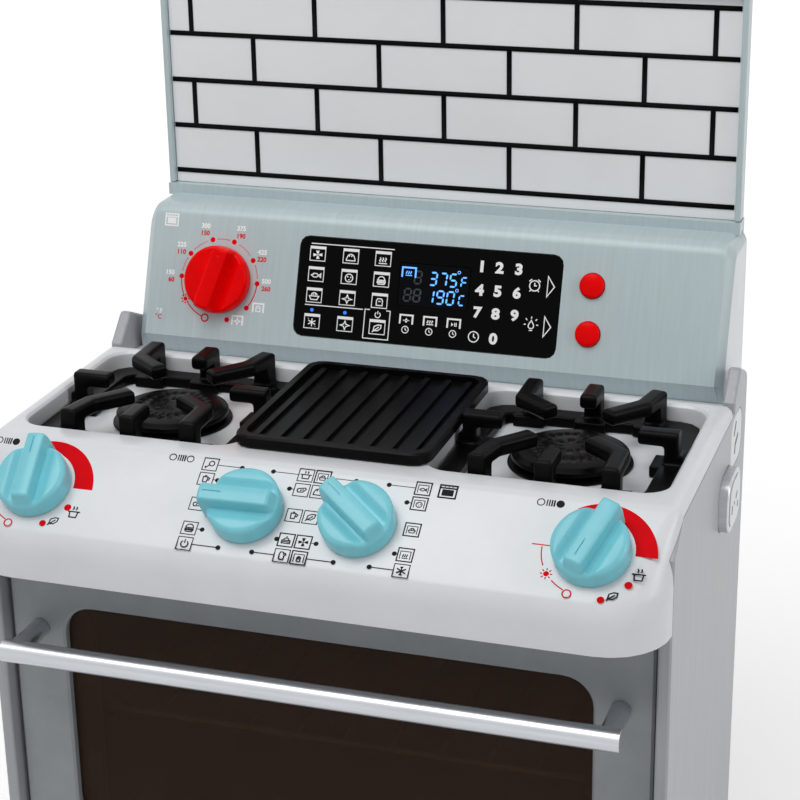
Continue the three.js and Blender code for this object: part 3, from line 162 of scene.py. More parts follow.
def dress(obj, mat, bevel=0.7, segments=2, angle=28):
    """Merges the flat faces of a CAD node, rounds its edges and gives it its finish."""
    mesh = obj.data
    if "custom_normal" in mesh.attributes:
        mesh.attributes.remove(mesh.attributes["custom_normal"])
    mesh.polygons.foreach_set("use_smooth", [True] * len(mesh.polygons))
    weld = obj.modifiers.new("weld", "WELD")
    weld.merge_threshold = 1e-5
    flat = obj.modifiers.new("flat", "DECIMATE")
    flat.decimate_type = "DISSOLVE"
    flat.angle_limit = math.radians(0.3)
    if bevel:
        edge = obj.modifiers.new("edge", "BEVEL")
        edge.width = bevel * MM
        edge.segments = segments
        edge.limit_method = "ANGLE"
        edge.angle_limit = math.radians(angle)
        edge.harden_normals = True
    mesh.materials.clear()
    mesh.materials.append(mat)


def cast(obj, voxel, passes, keep):
    """Makes one soft casting of a node: its parts grow together and every edge is rounded."""
    skin = obj.modifiers.new("skin", "REMESH")
    skin.mode = "VOXEL"
    skin.voxel_size = voxel * MM
    skin.use_smooth_shade = True
    soft = obj.modifiers.new("soft", "SMOOTH")
    soft.factor = 0.5
    soft.iterations = passes
    thin = obj.modifiers.new("thin", "DECIMATE")
    thin.ratio = keep


EDGES = {  # bevel in mm and segments where a node differs from the usual
    "worktop": (0.8, 3), "console_shell": (1.6, 3), "side_panel_left": (1.2, 3),
    "side_panel_right": (1.2, 3), "side_button": (0.5, 2), "tile_lines": (0, 1),
    "button_upper": (1.5, 4), "button_lower": (1.5, 4), "splash_panel": (0.3, 1),
    "display_screen": (0.2, 1), "display_panel": (0.3, 2),
    "griddle": (1.2, 3), "grate_left": (0, 1), "grate_right": (0, 1),
    "door_front": (1.5, 3), "splash_frame": (1.2, 3),
}
for name, obj in nodes.items():
    slot = obj.data.materials[0].name.split(".")[0]
    dress(obj, looks[slot], *EDGES.get(name, (0.6, 2)))
for side in ("left", "right"):
    cast(nodes["grate_" + side], 1.1, 9, 0.35)

looks.update({
    "mark_white": material("mark_white", (253, 253, 253), 0.5, 0.005, Specular_IOR_Level=0.3),
    "mark_red": material("mark_red", (222, 4, 18), 0.5, 0.03, Specular_IOR_Level=0.04),
    "mark_black": material("mark_black", (34, 34, 38), 0.5, 0.1, Specular_IOR_Level=0.04),
    "mark_grey": material("mark_grey", (92, 94, 100), 0.5, 0.1, Specular_IOR_Level=0.1),
    "mark_blue": material("mark_blue", (40, 110, 235), 0.3, 0.05,
                          Emission_Color=(0.02, 0.16, 0.9, 1), Emission_Strength=0.7),
    "lit_blue": material("lit_blue", (90, 170, 255), 0.3, 0.05,
                         Emission_Color=(0.13, 0.42, 1.0, 1), Emission_Strength=0.8),
    "ghost_blue": material("ghost_blue", (22, 27, 38), 0.3, 0.05),
})

# ---------------------------------------------------------------- mesh tools

class Frame:
    """A drawing frame on the object, in mm: x and y in its plane, turned by an angle, z out of it."""

    def __init__(self, origin, x, y, turn=0.0):
        x, y = Vector(x).normalized(), Vector(y).normalized()
        c, s = math.cos(math.radians(turn)), math.sin(math.radians(turn))
        self.x, self.y = x * c + y * s, y * c - x * s
        self.z = x.cross(y)
        self.origin = Vector(origin)

    def point(self, x, y, z=0.0):
        return (self.origin + self.x * x + self.y * y + self.z * z) * MM

    def height_of(self, node):
        """How far the node's vertices reach out of the frame's plane, in mm."""
        return max((v.co / MM - self.origin).dot(self.z) for v in nodes[node].data.vertices)

    def moved(self, x, y, z=0.0, turn=0.0):
        return Frame(self.origin + self.x * x + self.y * y + self.z * z, self.x, self.y, turn)


def add_mesh(name, verts, faces, mat, body, smooth=True):
    mesh = bpy.data.meshes.new(name)
    mesh.from_pydata(verts, [], faces)
    mesh.update()
    bm = bmesh.new()
    bm.from_mesh(mesh)
    bmesh.ops.recalc_face_normals(bm, faces=bm.faces)
    bm.to_mesh(mesh)
    bm.free()
    mesh.polygons.foreach_set("use_smooth", [smooth] * len(mesh.polygons))
    mesh.materials.append(looks[mat])
    obj = bpy.data.objects.new(name, mesh)
    scene.collection.objects.link(obj)
    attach(obj, body)
    return obj


# ---------------------------------------------------------------- knobs

KNOB = dict(radius=28.3, low=0.8, rim=16.8, crease_at=18.5, crease=18.0, valley_at=10.0, valley=14.8,
            top=25.0, flat=5.2, foot=8.8, ahead=30.6, tip=33.0, astern=-21.0, round=1.9, steep=5.6,
            tail_steep=4.2, rim_round=4.2)
DIAL = dict(KNOB, radius=29.5, rim=11.2, crease=12.0, valley=10.2, top=22.0, tip=28.5, ahead=25.6,
            astern=-24.5, foot=8.4, rim_round=3.4)
GROOVE_HALF, GROOVE_DEEP = 0.6, 0.9
BAR_END_ROUND = 3.2
KNOB_STEPS = 44


def smooth_max(a, b, blend):
    h = max(blend - abs(a - b), 0.0) / blend
    return max(a, b) + h * h * blend * 0.25


def knob_height(k, x, y, groove):
    """Height of the knob's upper surface over the point x, y of its base."""
    ax, r = abs(x), math.hypot(x, y)
    if ax > k["crease_at"]:
        share = (ax - k["crease_at"]) / (k["radius"] - k["crease_at"])
        skirt = k["crease"] + (k["rim"] - k["crease"]) * share * share
    else:
        share = max(0.0, ax - k["valley_at"]) / (k["crease_at"] - k["valley_at"])
        skirt = k["valley"] + (k["crease"] - k["valley"]) * share * share * (3 - 2 * share)
    inside = r - (k["radius"] - k["rim_round"])
    if inside > 0:
        fall = k["rim_round"] - math.sqrt(max(0.0, k["rim_round"] ** 2 - inside ** 2))
        skirt -= fall
    if r > k["radius"]:
        skirt = k["low"]
    a = max(ax - k["flat"], 0.0)
    b = y - k["ahead"] if y > 0 else (k["astern"] - y) * k["tail_steep"] / k["steep"]
    d = math.hypot(a, max(b, 0.0))
    turn = k["round"] * math.sin(math.atan(k["steep"]))
    if d < turn:
        drop = k["round"] - math.sqrt(k["round"] ** 2 - d * d)
    else:
        drop = k["round"] * (1 - math.cos(math.atan(k["steep"]))) + (d - turn) * k["steep"]
    crown = 0.5 * (ax / k["flat"]) ** 2 if ax < k["flat"] else 0.5
    bar = k["top"] - crown - drop
    height = max(smooth_max(bar, skirt, 1.4), k["low"] + 0.5)
    if groove and ax < GROOVE_HALF and groove[0] < y < groove[1]:
        height -= GROOVE_DEEP
    return height


def knob_columns(k):
    """Lines across the knob: close together at the groove, on the bar's flank and at the rim."""
    near = [0, GROOVE_HALF * 0.96, GROOVE_HALF * 1.3, 1.6, 2.8, 4.0, k["flat"]]
    while near[-1] < k["foot"] - 0.45:
        near.append(near[-1] + 0.3)
    near.append(k["foot"] - 0.02)
    x, far = k["foot"] + 0.02, []
    while x < k["radius"] - 0.9:
        far.append(x)
        left = k["radius"] - x
        x += min(1.1, max(0.16, left * 0.22)) if left < 5 else (0.45 if x < 12 else 1.1)
    far += [k["radius"] - v for v in (0.75, 0.6, 0.45, 0.32, 0.2, 0.1, 0.03)]
    half = near + far
    return [-v for v in reversed(half[1:])] + half


def knob_reach(k, x):
    """Where a column starts and ends along the bar."""
    ax = abs(x)
    edge = math.sqrt(max(k["radius"] ** 2 - ax * ax, 0.0))
    ahead = edge
    if ax < k["foot"]:
        corner = max(0.0, ax - (k["foot"] - BAR_END_ROUND))
        ahead = max(edge, k["tip"] - BAR_END_ROUND + math.sqrt(BAR_END_ROUND ** 2 - corner ** 2))
    return -edge, ahead


COSINE_SHARE = 0.45  # how strongly the points of a column crowd at its two ends


def make_knob(name, k, place, body, mat, node, groove):
    """The knob's upper surface over a grid of columns, a wall below its rim and a flat underside."""
    columns, verts, faces = knob_columns(k), [], []
    rows = KNOB_STEPS
    for x in columns:
        start, end = knob_reach(k, x)
        for j in range(rows + 1):
            share = j / rows
            even = 0.5 - 0.5 * math.cos(math.pi * share)
            share = (1 - COSINE_SHARE) * share + COSINE_SHARE * even
            y = start + (end - start) * share
            verts.append(place.point(x, y, knob_height(k, x, y * 0.99999, groove)))
    count = len(columns)
    for i in range(count - 1):
        for j in range(rows):
            a = i * (rows + 1) + j
            faces.append((a, a + rows + 1, a + rows + 2, a + 1))
    rim = [i * (rows + 1) for i in range(count)]
    rim += [(count - 1) * (rows + 1) + j for j in range(1, rows + 1)]
    rim += [i * (rows + 1) + rows for i in range(count - 2, -1, -1)]
    rim += [j for j in range(rows - 1, 0, -1)]
    low = []
    for v in rim:
        p = verts[v] / MM - place.origin
        low.append(len(verts))
        verts.append(place.point(p.dot(place.x), p.dot(place.y), k["low"]))
    for n in range(len(rim)):
        m = (n + 1) % len(rim)
        faces.append((rim[n], rim[m], low[m], low[n]))
    faces.append(tuple(reversed(low)))
    obj = add_mesh(name, verts, faces, mat, body)
    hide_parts(node)
    obj.data.set_sharp_from_angle(angle=math.radians(50))
    return obj

# ---------------------------------------------------------------- burners

def lathe(name, profile, place, turns, mat, body, node, dent=None):
    """A turned piece. dent says how far a point at radius r and turn t is pushed down."""
    verts, faces = [], []
    for r, z in profile:
        for t in turns:
            low = dent(r, t) if dent else 0.0
            a = math.radians(t)
            verts.append(place.point(r * math.cos(a), r * math.sin(a), z - low))
    n = len(turns)
    for i in range(len(profile) - 1):
        for j in range(n):
            m = (j + 1) % n
            faces.append((i * n + j, i * n + m, (i + 1) * n + m, (i + 1) * n + j))
    faces.append(tuple(range(n)))
    faces.append(tuple(reversed(range((len(profile) - 1) * n, len(profile) * n))))
    obj = add_mesh(name, verts, faces, mat, body)
    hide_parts(node)
    return obj


SLOT_RINGS = ((10.0, 45.0, 22.7), (25.5, 15.0, 7.7))  # radius, turn from slot to slot, end of a slot
SLOT_HALF, SLOT_DEEP, SLOT_TURN = 1.5, 2.2, 15.0
SLOT_LINES = (0.0, 0.6, 7.4, 8.0)
SLOT_STOPS = (-1.65, -1.45, 0, 1.45, 1.65)
CAP_INSET, DOME, AXIS = 3, 4.5, 0.01


def slot_dent(r, t):
    """Pushes the points of a small slot down into the burner's cap."""
    inside = any(abs(r - ring) < SLOT_HALF and 0.3 < t % turn < end for ring, turn, end in SLOT_RINGS)
    return SLOT_DEEP if inside else 0.0


def rounded(points, radius, steps=4):
    """An open profile with its inner corners rounded."""
    out = [points[0]]
    for a, b, c in zip(points, points[1:], points[2:]):
        a, b, c = Vector(a), Vector(b), Vector(c)
        reach = min(radius, (a - b).length / 2.2, (c - b).length / 2.2)
        p, q = b + (a - b).normalized() * reach, b + (c - b).normalized() * reach
        for s in range(steps + 1):
            u = s / steps
            out.append(tuple(p * (1 - u) ** 2 + b * 2 * u * (1 - u) + q * u ** 2))
    out.append(points[-1])
    return out


def make_burner(side):
    """A burner: wide base flange, narrow waist, rim and a domed cap with two rings of slots."""
    node = "burner_" + side
    low, high = (Vector(v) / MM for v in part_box(node))
    base, tall = (high.x - low.x) / 2, high.z - low.z
    rim = base - CAP_INSET
    place = Frame(((low.x + high.x) / 2, (low.y + high.y) / 2, low.z), (1, 0, 0), (0, 1, 0))
    dome = tall - DOME
    outer = rounded([(AXIS, 0), (base, 0), (base, 1.2), (rim - 2, 2.2), (rim - 6, 3.4), (rim - 6, 4.2),
                     (rim, 5), (rim, dome), (rim - 3, dome + 1)], 0.9)
    crown = []
    stops = sorted({ring + d for ring, _, _ in SLOT_RINGS for d in SLOT_STOPS} |
                   {rim - 4, rim - 6, 34.0, 17.5, 5.0, AXIS}, reverse=True)
    for r in stops:
        crown.append((r, dome + 1 + (tall - dome - 1) * math.sqrt(max(0.0, 1 - (r / (rim - 2)) ** 2))))
    turns = [n * SLOT_TURN + line for n in range(int(360 / SLOT_TURN)) for line in SLOT_LINES]
    lathe(node + "_cap", outer + crown, place, turns, "hob_black", "cabinet", node, slot_dent)


# ---------------------------------------------------------------- printed signs

PRINT, SINK = 0.05, 0.03


class Ink:
    """Signs of one colour on one plane: each stroke is a thin closed plate on the surface."""

    def __init__(self, plane, height=0.0, thick=PRINT):
        self.plane, self.z, self.thick = plane, height, thick
        self.verts, self.faces, self.count = [], [], 0

    def levels(self):
        """Bottom and top of the next stroke: crossing strokes differ a little, so no faces coincide."""
        self.count += 1
        return self.z - SINK, self.z + self.thick * (1 + 0.1 * (self.count % 5))

    def fill(self, outline):
        base, n = len(self.verts), len(outline)
        for z in self.levels():
            self.verts += [self.plane.point(x, y, z) for x, y in outline]
        self.faces.append(tuple(base + i for i in reversed(range(n))))
        self.faces.append(tuple(base + n + i for i in range(n)))
        for i in range(n):
            j = (i + 1) % n
            self.faces.append((base + i, base + j, base + n + j, base + n + i))

    def band(self, outer, inner):
        """The band between two closed outlines of the same count."""
        base, n = len(self.verts), len(outer)
        low, high = self.levels()
        for z in (low, high):
            self.verts += [self.plane.point(x, y, z) for x, y in outer]
            self.verts += [self.plane.point(x, y, z) for x, y in inner]
        for i in range(n):
            j = (i + 1) % n
            a, b, c, d = base + i, base + j, base + n + j, base + n + i
            up = 2 * n
            self.faces += [(a, d, c, b), (a + up, b + up, c + up, d + up),
                           (a, b, b + up, a + up), (d, d + up, c + up, c)]

    def line(self, points, width):
        left, right = offsets(points, width / 2, False)
        self.fill(left + right[::-1])

    def loop(self, points, width):
        outer, inner = offsets(points, width / 2, True)
        self.band(outer, inner)

    def disc(self, x, y, r, sides=20):
        self.fill(circle(x, y, r, sides))

    def ring(self, x, y, r, width, sides=28):
        self.band(circle(x, y, r + width / 2, sides), circle(x, y, r - width / 2, sides))

    def arc(self, x, y, r, start, end, width):
        steps = max(3, int(abs(end - start) / 7))
        self.line([polar(x, y, r, start + (end - start) * i / steps) for i in range(steps + 1)], width)

    def text(self, words, x, y, height, bold=0.0, wide=1.0):
        """Plain digits or a degree letter, centred on x, y."""
        curve = bpy.data.curves.new("words", "FONT")
        curve.body = words
        curve.offset = bold
        curve.resolution_u = 4
        obj = bpy.data.objects.new("words", curve)
        scene.collection.objects.link(obj)
        bpy.context.view_layer.update()
        mesh = obj.to_mesh()
        bm = bmesh.new()
        bm.from_mesh(mesh)
        bmesh.ops.remove_doubles(bm, verts=bm.verts, dist=1e-5)
        xs = [v.co.x for v in bm.verts]
        ys = [v.co.y for v in bm.verts]
        scale = height / (max(ys) - min(ys))
        mid = ((max(xs) + min(xs)) / 2, (max(ys) + min(ys)) / 2)
        low, high = self.levels()
        made = bmesh.ops.extrude_face_region(bm, geom=list(bm.faces))
        top = {g for g in made["geom"] if isinstance(g, bmesh.types.BMVert)}
        base = len(self.verts)
        bm.verts.index_update()
        for v in bm.verts:
            px, py = (v.co.x - mid[0]) * scale * wide + x, (v.co.y - mid[1]) * scale + y
            self.verts.append(self.plane.point(px, py, high if v in top else low))
        self.faces += [tuple(base + v.index for v in f.verts) for f in bm.faces]
        bm.free()
        obj.to_mesh_clear()
        bpy.data.objects.remove(obj)
        bpy.data.curves.remove(curve)

    def sign(self, name, x, y, half_x, half_y, width):
        """A small picture from PICTURES, drawn in a box of that half size."""
        for step in PICTURES[name].split(";"):
            kind, *values = step.split()
            v = [float(n) for n in values]
            if kind in "lcf":
                points = [(x + v[i] * half_x, y + v[i + 1] * half_y) for i in range(0, len(v), 2)]
                {"l": self.line, "c": self.loop}.get(kind, lambda p, w: self.fill(p))(points, width)
            elif kind == "o":
                self.ring(x + v[0] * half_x, y + v[1] * half_y, v[2] * half_y, width, 20)
            elif kind == "d":
                self.disc(x + v[0] * half_x, y + v[1] * half_y, v[2] * half_y, 12)
            elif kind == "a":
                self.arc(x + v[0] * half_x, y + v[1] * half_y, v[2] * half_y, v[3], v[4], width)

    def done(self, name, mat, body="cabinet", slot=None):
        """Makes one piece of all the strokes."""
        return add_mesh(name, self.verts, self.faces, mat, body, False)


def polar(x, y, r, turn):
    a = math.radians(turn)
    return x + r * math.cos(a), y + r * math.sin(a)


def circle(x, y, r, sides):
    return [polar(x, y, r, 360 * i / sides) for i in range(sides)]


def offsets(points, d, closed):
    """The two lines that run d to the left and right of a line, with mitred corners."""
    pts = [Vector(p) for p in points]
    n, left, right = len(pts), [], []
    for i, p in enumerate(pts):
        before = pts[i - 1] if closed or i else None
        after = pts[(i + 1) % n] if closed or i < n - 1 else None
        u = (p - before).normalized() if before is not None else (after - p).normalized()
        w = (after - p).normalized() if after is not None else u
        bend = u + w
        bend = bend.normalized() if bend.length > 0.2 else u
        reach = min(d / max(0.35, bend.dot(w)), 2.5 * d)
        side = Vector((-bend.y, bend.x)) * reach
        left.append(tuple(p + side))
        right.append(tuple(p - side))
    if closed:
        area = sum(a[0] * b[1] - a[1] * b[0] for a, b in zip(left, left[1:] + left[:1]))
        other = sum(a[0] * b[1] - a[1] * b[0] for a, b in zip(right, right[1:] + right[:1]))
        return (left, right) if abs(area) > abs(other) else (right, left)
    return left, right


def rectangle(x, y, width, height):
    a, b = width / 2, height / 2
    return [(x - a, y - b), (x + a, y - b), (x + a, y + b), (x - a, y + b)]


# Small pictures in a box from -1 to 1: l line, c closed line, f filled shape, o ring, d dot, a arc.
PICTURES = {
    "fan": "f -.14 .2 -.36 .74 .24 .8 .12 .2;f .2 .14 .74 .36 .8 -.24 .2 -.12;"
           "f .14 -.2 .36 -.74 -.24 -.8 -.12 -.2;f -.2 -.14 -.74 -.36 -.8 .24 -.2 .12;d 0 0 .14",
    "bread": "a 0 -.15 .72 0 180;l -.72 -.15 -.72 -.6 .72 -.6 .72 -.15;l -.3 .1 -.2 .4;l .1 .1 .2 .4",
    "steam": "l -.7 -.65 .7 -.65;l -.45 -.35 -.6 -.1 -.38 .15 -.52 .45;l 0 -.35 -.15 -.1 .07 .15 -.07 .45;"
             "l .45 -.35 .3 -.1 .52 .15 .38 .45",
    "fish": "c -.78 0 -.35 .36 .15 .32 .42 0 .15 -.32 -.35 -.36;l .42 0 .8 .34 .8 -.34 .42 0;d -.4 .1 .09",
    "pizza": "o 0 0 .74;d -.25 .22 .14;d .28 .14 .14;d .02 -.34 .14",
    "burger": "a 0 .1 .66 0 180;l -.72 .08 .72 .08;l -.74 -.16 .74 -.16;c -.66 -.38 .66 -.38 .5 -.66 -.5 -.66",
    "pie": "c -.8 .05 .8 .05 .52 -.6 -.52 -.6;a 0 .05 .62 15 165;l -.2 .25 -.1 .48;l .15 .25 .25 .48",
    "chicken": "o .2 .18 .46;l -.12 -.15 -.6 -.6;d -.66 -.7 .14;d -.74 -.5 .12",
    "toast": "c -.5 -.66 .5 -.66 .5 .28 .3 .6 -.3 .6 -.5 .28;l -.2 .1 .2 .1",
    "jar": "c -.42 .36 .42 .36 .42 -.68 -.42 -.68;l -.34 .62 .34 .62;l -.42 0 .42 0",
    "tree": "l 0 -.75 0 .75;l -.6 -.36 .6 .36;l -.6 .36 .6 -.36;d 0 0 .2;d -.62 .7 .08;d .62 -.7 .08",
    "star": "c 0 .8 .2 .2 .8 0 .2 -.2 0 -.8 -.2 -.2 -.8 0 -.2 .2",
    "leaf": "c -.6 -.46 -.5 .3 .1 .62 .66 .6 .6 0 .1 -.46;l -.78 -.74 .3 .26",
    "power": "a 0 -.06 .62 -235 55;l 0 .1 0 .8",
    "clock": "o 0 0 .85;l 0 .5 0 0 .36 -.2",
    "alarm": "o 0 -.05 .72;l 0 .36 0 -.05 .32 -.05;l -.82 .52 -.44 .84;l .82 .52 .44 .84;"
             "l -.46 -.62 -.66 -.86;l .46 -.62 .66 -.86",
    "lamp": "c 0 .5 .3 0 .32 -.26 .14 -.44 -.14 -.44 -.32 -.26 -.3 0;l 0 .72 0 .95;l .5 .5 .68 .7;"
            "l -.5 .5 -.68 .7;l .62 0 .86 0;l -.62 0 -.86 0;l -.2 -.66 .2 -.66",
    "pot": "c -.6 .1 .6 .1 .5 -.66 -.5 -.66;l -.9 .1 .9 .1;l -.25 .34 -.12 .56 -.25 .8;l .2 .34 .33 .56 .2 .8",
    "sausage": "c -.7 -.1 -.5 -.45 .3 -.35 .72 .2 .55 .45 -.2 .3 -.6 .2;l -.2 -.2 0 .1;l .15 -.1 .3 .2",
    "cup": "c -.5 .4 .3 .4 .2 -.6 -.4 -.6;l .3 .25 .62 .2 .5 -.2 .26 -.2;l -.3 .62 .1 .62",
    "cake": "c -.66 -.6 .66 -.6 .66 -.05 -.66 -.05;a 0 -.05 .45 0 180;d 0 .62 .12;l -.66 -.32 .66 -.32",
    "mitt": "c -.34 -.66 .34 -.66 .36 0 .66 .3 .5 .52 .26 .34 .18 .68 -.3 .68 -.42 .1",
    "flake": "l 0 -.8 0 .8;l -.7 -.4 .7 .4;l -.7 .4 .7 -.4;l -.22 .72 0 .5 .22 .72;l -.22 -.72 0 -.5 .22 -.72",
    "arch": "l -.9 -.85 -.9 .8 .9 .8 .9 -.85",
    "gear": "o 0 -.1 .3;l 0 .3 0 .5;l 0 -.5 0 -.7;l .42 -.1 .62 -.1;l -.42 -.1 -.62 -.1",
    "play": "f -.5 .4 -.5 -.6 -.05 -.1;l .2 .4 .2 -.6;l .5 .4 .5 -.6",
    "sun": "d 0 0 .34;" + ";".join("l %.2f %.2f %.2f %.2f" % (
        *polar(0, 0, 0.56, 45 * i), *polar(0, 0, 0.95, 45 * i)) for i in range(8)),
    "door": "c -.9 -.9 .9 -.9 .9 .9 -.9 .9;f -.62 -.62 .62 -.62 .62 .3 -.62 .3;l -.9 .5 .9 .5;"
            "d -.4 .7 .07;d 0 .7 .07;d .4 .7 .07",
}

# Planes of the console's face and of the fascia, and the places of the knobs on them.
CONSOLE = Frame((0, 107.9, 500), (1, 0, 0), (0, 0.3437, 0.9391))
FASCIA = Frame((0, -135, 500), (1, 0, 0), (0, 0.7973, 0.6036))
PRINTED = FASCIA.moved(0, 3.3)
PRINTED.y = PRINTED.y * 0.98
KNOB_DOWN, RING_DOWN = 42, 45.5
KNOBS = (  # place across, turn, reach of the groove along the bar
    (-218.3, 5, (15, 29)), (-44, 91, (15, 29)), (44, 53, (15, 29)), (218.3, -20, (-16.8, -4.2)))
DIAL_AT, DIAL_UP, DIAL_TURN = -187.3, 55.6, -16.5

for i, (x, turn, groove) in enumerate(KNOBS):
    place = FASCIA.moved(x, -KNOB_DOWN, 0, turn)
    node = f"knob_{i + 1}"
    make_knob(node + "_grip", KNOB, place, "hob_" + node, "turquoise", node, groove)
dial_place = CONSOLE.moved(DIAL_AT, DIAL_UP, 0, DIAL_TURN)
make_knob("dial_grip", DIAL, dial_place, "dial", "red", "temperature_dial", (20.5, 22.5))
for side in ("left", "right"):
    make_burner(side)

# Signs on the black panel: a block of boxed pictures, the keys and what stands round them.
panel = CONSOLE.height_of("display_panel")
white = Ink(CONSOLE, panel)
COLUMNS, ROWS = (-98.2, -68.0, -38.7), (85.4, 67.7, 49.5, 27.0)
BLOCK = (("fan", "bread", "steam"), ("fish", "pizza", "burger"), ("pie", "star", "toast"),
         ("tree", "star", "leaf"))
for up, names in zip(ROWS, BLOCK):
    for x, name in zip(COLUMNS, names):
        white.loop(rectangle(x, up, 13.8, 12.2), 0.7)
        white.fill(rectangle(x, up + 5.0, 13.6, 2.0))
        white.sign(name, x, up - 1.0, 5.4, 4.6, 0.9)
white.line([(-104.8, 94), (-29.2, 94)], 0.8)
white.line([(-106, 41), (-52.9, 41)], 0.8)
white.line([(-46.5, 41.4), (-50.9, 41.4), (-50.9, 16.7),
            (-28.2, 16.7), (-28.2, 41.4), (-31.8, 41.4)], 0.8)
white.sign("power", -39.2, 37.6, 3.8, 3.8, 0.8)
for x, inner in zip((-13.3, 7.9, 28.9), ("gear", "steam", "play")):
    white.sign("arch", x, 35.7, 6.2, 4.6, 1.5)
    white.sign(inner, x, 35.2, 4.4, 3.2, 0.8)
    white.sign("clock", x - 0.3, 27.0, 3.4, 3.4, 0.75)
KEYS = {"1": (48.9, 85.8), "2": (64.3, 85.8), "3": (81, 85.8),
        "4": (48.6, 66), "5": (64.4, 66), "6": (81.1, 66),
        "7": (48.8, 47), "8": (64.4, 47), "9": (80.9, 47), "0": (64.3, 26)}
for key, (x, up) in KEYS.items():
    white.text(key, x, up, 9.8, 0.05, 1.12)
white.sign("clock", 47.1, 26.2, 5.2, 5.2, 0.95)
white.sign("alarm", 95.8, 73.5, 6.0, 6.0, 1.0)
white.sign("lamp", 95.8, 40.6, 7.2, 7.2, 0.9)
for up in (73.4, 39.8):
    white.loop([(106.9, up + 8.4), (112.8, up), (106.9, up - 8.4)], 1.0)
white.done("panel_signs", "mark_white", slot="tile_white")
leds = Ink(CONSOLE, panel, 0.5)
for x in (-98.9, -68.7):
    leds.disc(x, 36.7, 1.5)
leds.done("panel_lights", "mark_blue", slot="screen")

# Lit screen.
SEGMENTS = {"0": "abcdef", "1": "bc", "3": "abcdg", "5": "acdfg", "7": "abc", "9": "abcdfg",
            "F": "aefg", "C": "adef", "8": "abcdefg"}
glass = CONSOLE.height_of("display_screen")


def seven(ink, mark, x, up, wide, tall, thick):
    """A seven-segment digit in a box whose lower left corner is x, up."""
    lean, cut = 0.08, thick * 0.55
    a, h = wide, tall / 2
    ends = {"a": ((0, tall), (a, tall)), "b": ((a, tall), (a, h)), "c": ((a, h), (a, 0)),
            "d": ((0, 0), (a, 0)), "e": ((0, 0), (0, h)), "f": ((0, h), (0, tall)),
            "g": ((0, h), (a, h))}
    for part in SEGMENTS[mark]:
        p, q = (Vector(v) for v in ends[part])
        along = (q - p).normalized() * cut
        side = Vector((-along.y, along.x)).normalized() * thick / 2
        outline = [p + along * 0.5, p + along * 1.5 + side, q - along * 1.5 + side, q - along * 0.5,
                   q - along * 1.5 - side, p + along * 1.5 - side]
        ink.fill([(x + v.x + v.y * lean, up + v.y) for v in outline])


lit, ghost = Ink(CONSOLE, glass, 0.05), Ink(CONSOLE, glass, 0.02)
for n, mark in enumerate("375"):
    seven(lit, mark, 4.2 + n * 8.8, 66.6, 5.6, 10.6, 1.5)
for n, mark in enumerate("190"):
    seven(lit, mark, 2.4 + n * 9.0, 51.3, 5.8, 10.8, 1.5)
seven(lit, "F", 32.0, 66.8, 4.6, 8.2, 1.3)
seven(lit, "C", 31.2, 51.6, 4.6, 8.0, 1.3)
for x, up in ((29.6, 79.0), (29.0, 63.6)):
    lit.ring(x, up, 1.2, 0.6, 14)
lit.sign("arch", -14.6, 75.8, 6.6, 5.0, 1.4)
lit.sign("steam", -14.6, 75.4, 4.2, 3.4, 0.7)
for n in range(2):
    seven(ghost, "8", -17.6 + n * 8.6, 51.5, 5.6, 10.4, 1.4)
    seven(ghost, "8", -9.4, 51.5 + 15.3 * n, 5.6, 10.4, 1.4)
lit.done("screen_digits", "lit_blue", slot="screen")
ghost.done("screen_ghosts", "ghost_blue", slot="screen")

# Round the dial: ten dots on an arc, two rows of numbers, four small signs.
face_white, face_red = Ink(CONSOLE), Ink(CONSOLE)
WHITE_NUMBERS = {"150": (-233.9, 58.9), "225": (-225.5, 84), "300": (-204.2, 101.9),
                 "375": (-170.6, 101.8), "425": (-149.3, 82.6), "500": (-143.2, 57.6)}
RED_NUMBERS = {"60": (-232.7, 52.6), "110": (-224.8, 77.7), "150": (-203.9, 95.6),
               "190": (-170.1, 95.1), "220": (-149.2, 76.4), "260": (-143.0, 51.2)}
for word, (x, up) in WHITE_NUMBERS.items():
    face_white.text(word, x, up, 4.4, 0.035)
for word, (x, up) in RED_NUMBERS.items():
    face_red.text(word, x, up, 4.4, 0.035)
DOTS, DOT_RING = (179, 144, 105, 72, 32.5, -1, -39, -73, -107, -148), 35.7
DOT, SPECK = 2.3, 0.72
SPECKS, SPECK_FIRST, SPECK_SPAN = 7, 0.24, 0.52  # small dots between two dots
for turn in DOTS[:8]:
    face_red.disc(*polar(DIAL_AT, DIAL_UP, DOT_RING, turn), DOT)
for a, b in zip(DOTS[:5], DOTS[1:6]):
    for step in range(SPECKS):
        turn = a + (b - a) * (SPECK_FIRST + SPECK_SPAN * step / (SPECKS - 1))
        face_red.disc(*polar(DIAL_AT, DIAL_UP, DOT_RING, turn), SPECK, 4)
face_red.arc(DIAL_AT, DIAL_UP, DOT_RING, 183, 207, 1.0)
face_red.arc(DIAL_AT, DIAL_UP, DOT_RING, 218, 248, 1.0)
face_red.arc(DIAL_AT, DIAL_UP, DOT_RING, -4, -36, 1.0)
face_red.ring(*polar(DIAL_AT, DIAL_UP, DOT_RING, -107), 3.1, 1.3)
sun_at = polar(DIAL_AT, DIAL_UP, DOT_RING, -148)
face_red.sign("sun", *sun_at, 4.4, 4.4, 1.3)
face_red.disc(*sun_at, 1.9)
face_white.sign("door", -237.0, 105, 6.6, 5.6, 1.3)
for x, up, inner in ((-148.6, 34, "toast"), (-167.0, 21.6, "star")):
    face_white.sign("arch", x, up, 5.4, 4.8, 1.5)
    face_white.sign(inner, x, up - 0.6, 3.8, 3.6, 0.9)
face_white.ring(-243.4, 25.6, 0.8, 0.45, 12)
face_white.text("F", -239.8, 24.1, 4.2, 0.02)
face_red.ring(-244.0, 20.6, 0.8, 0.45, 12)
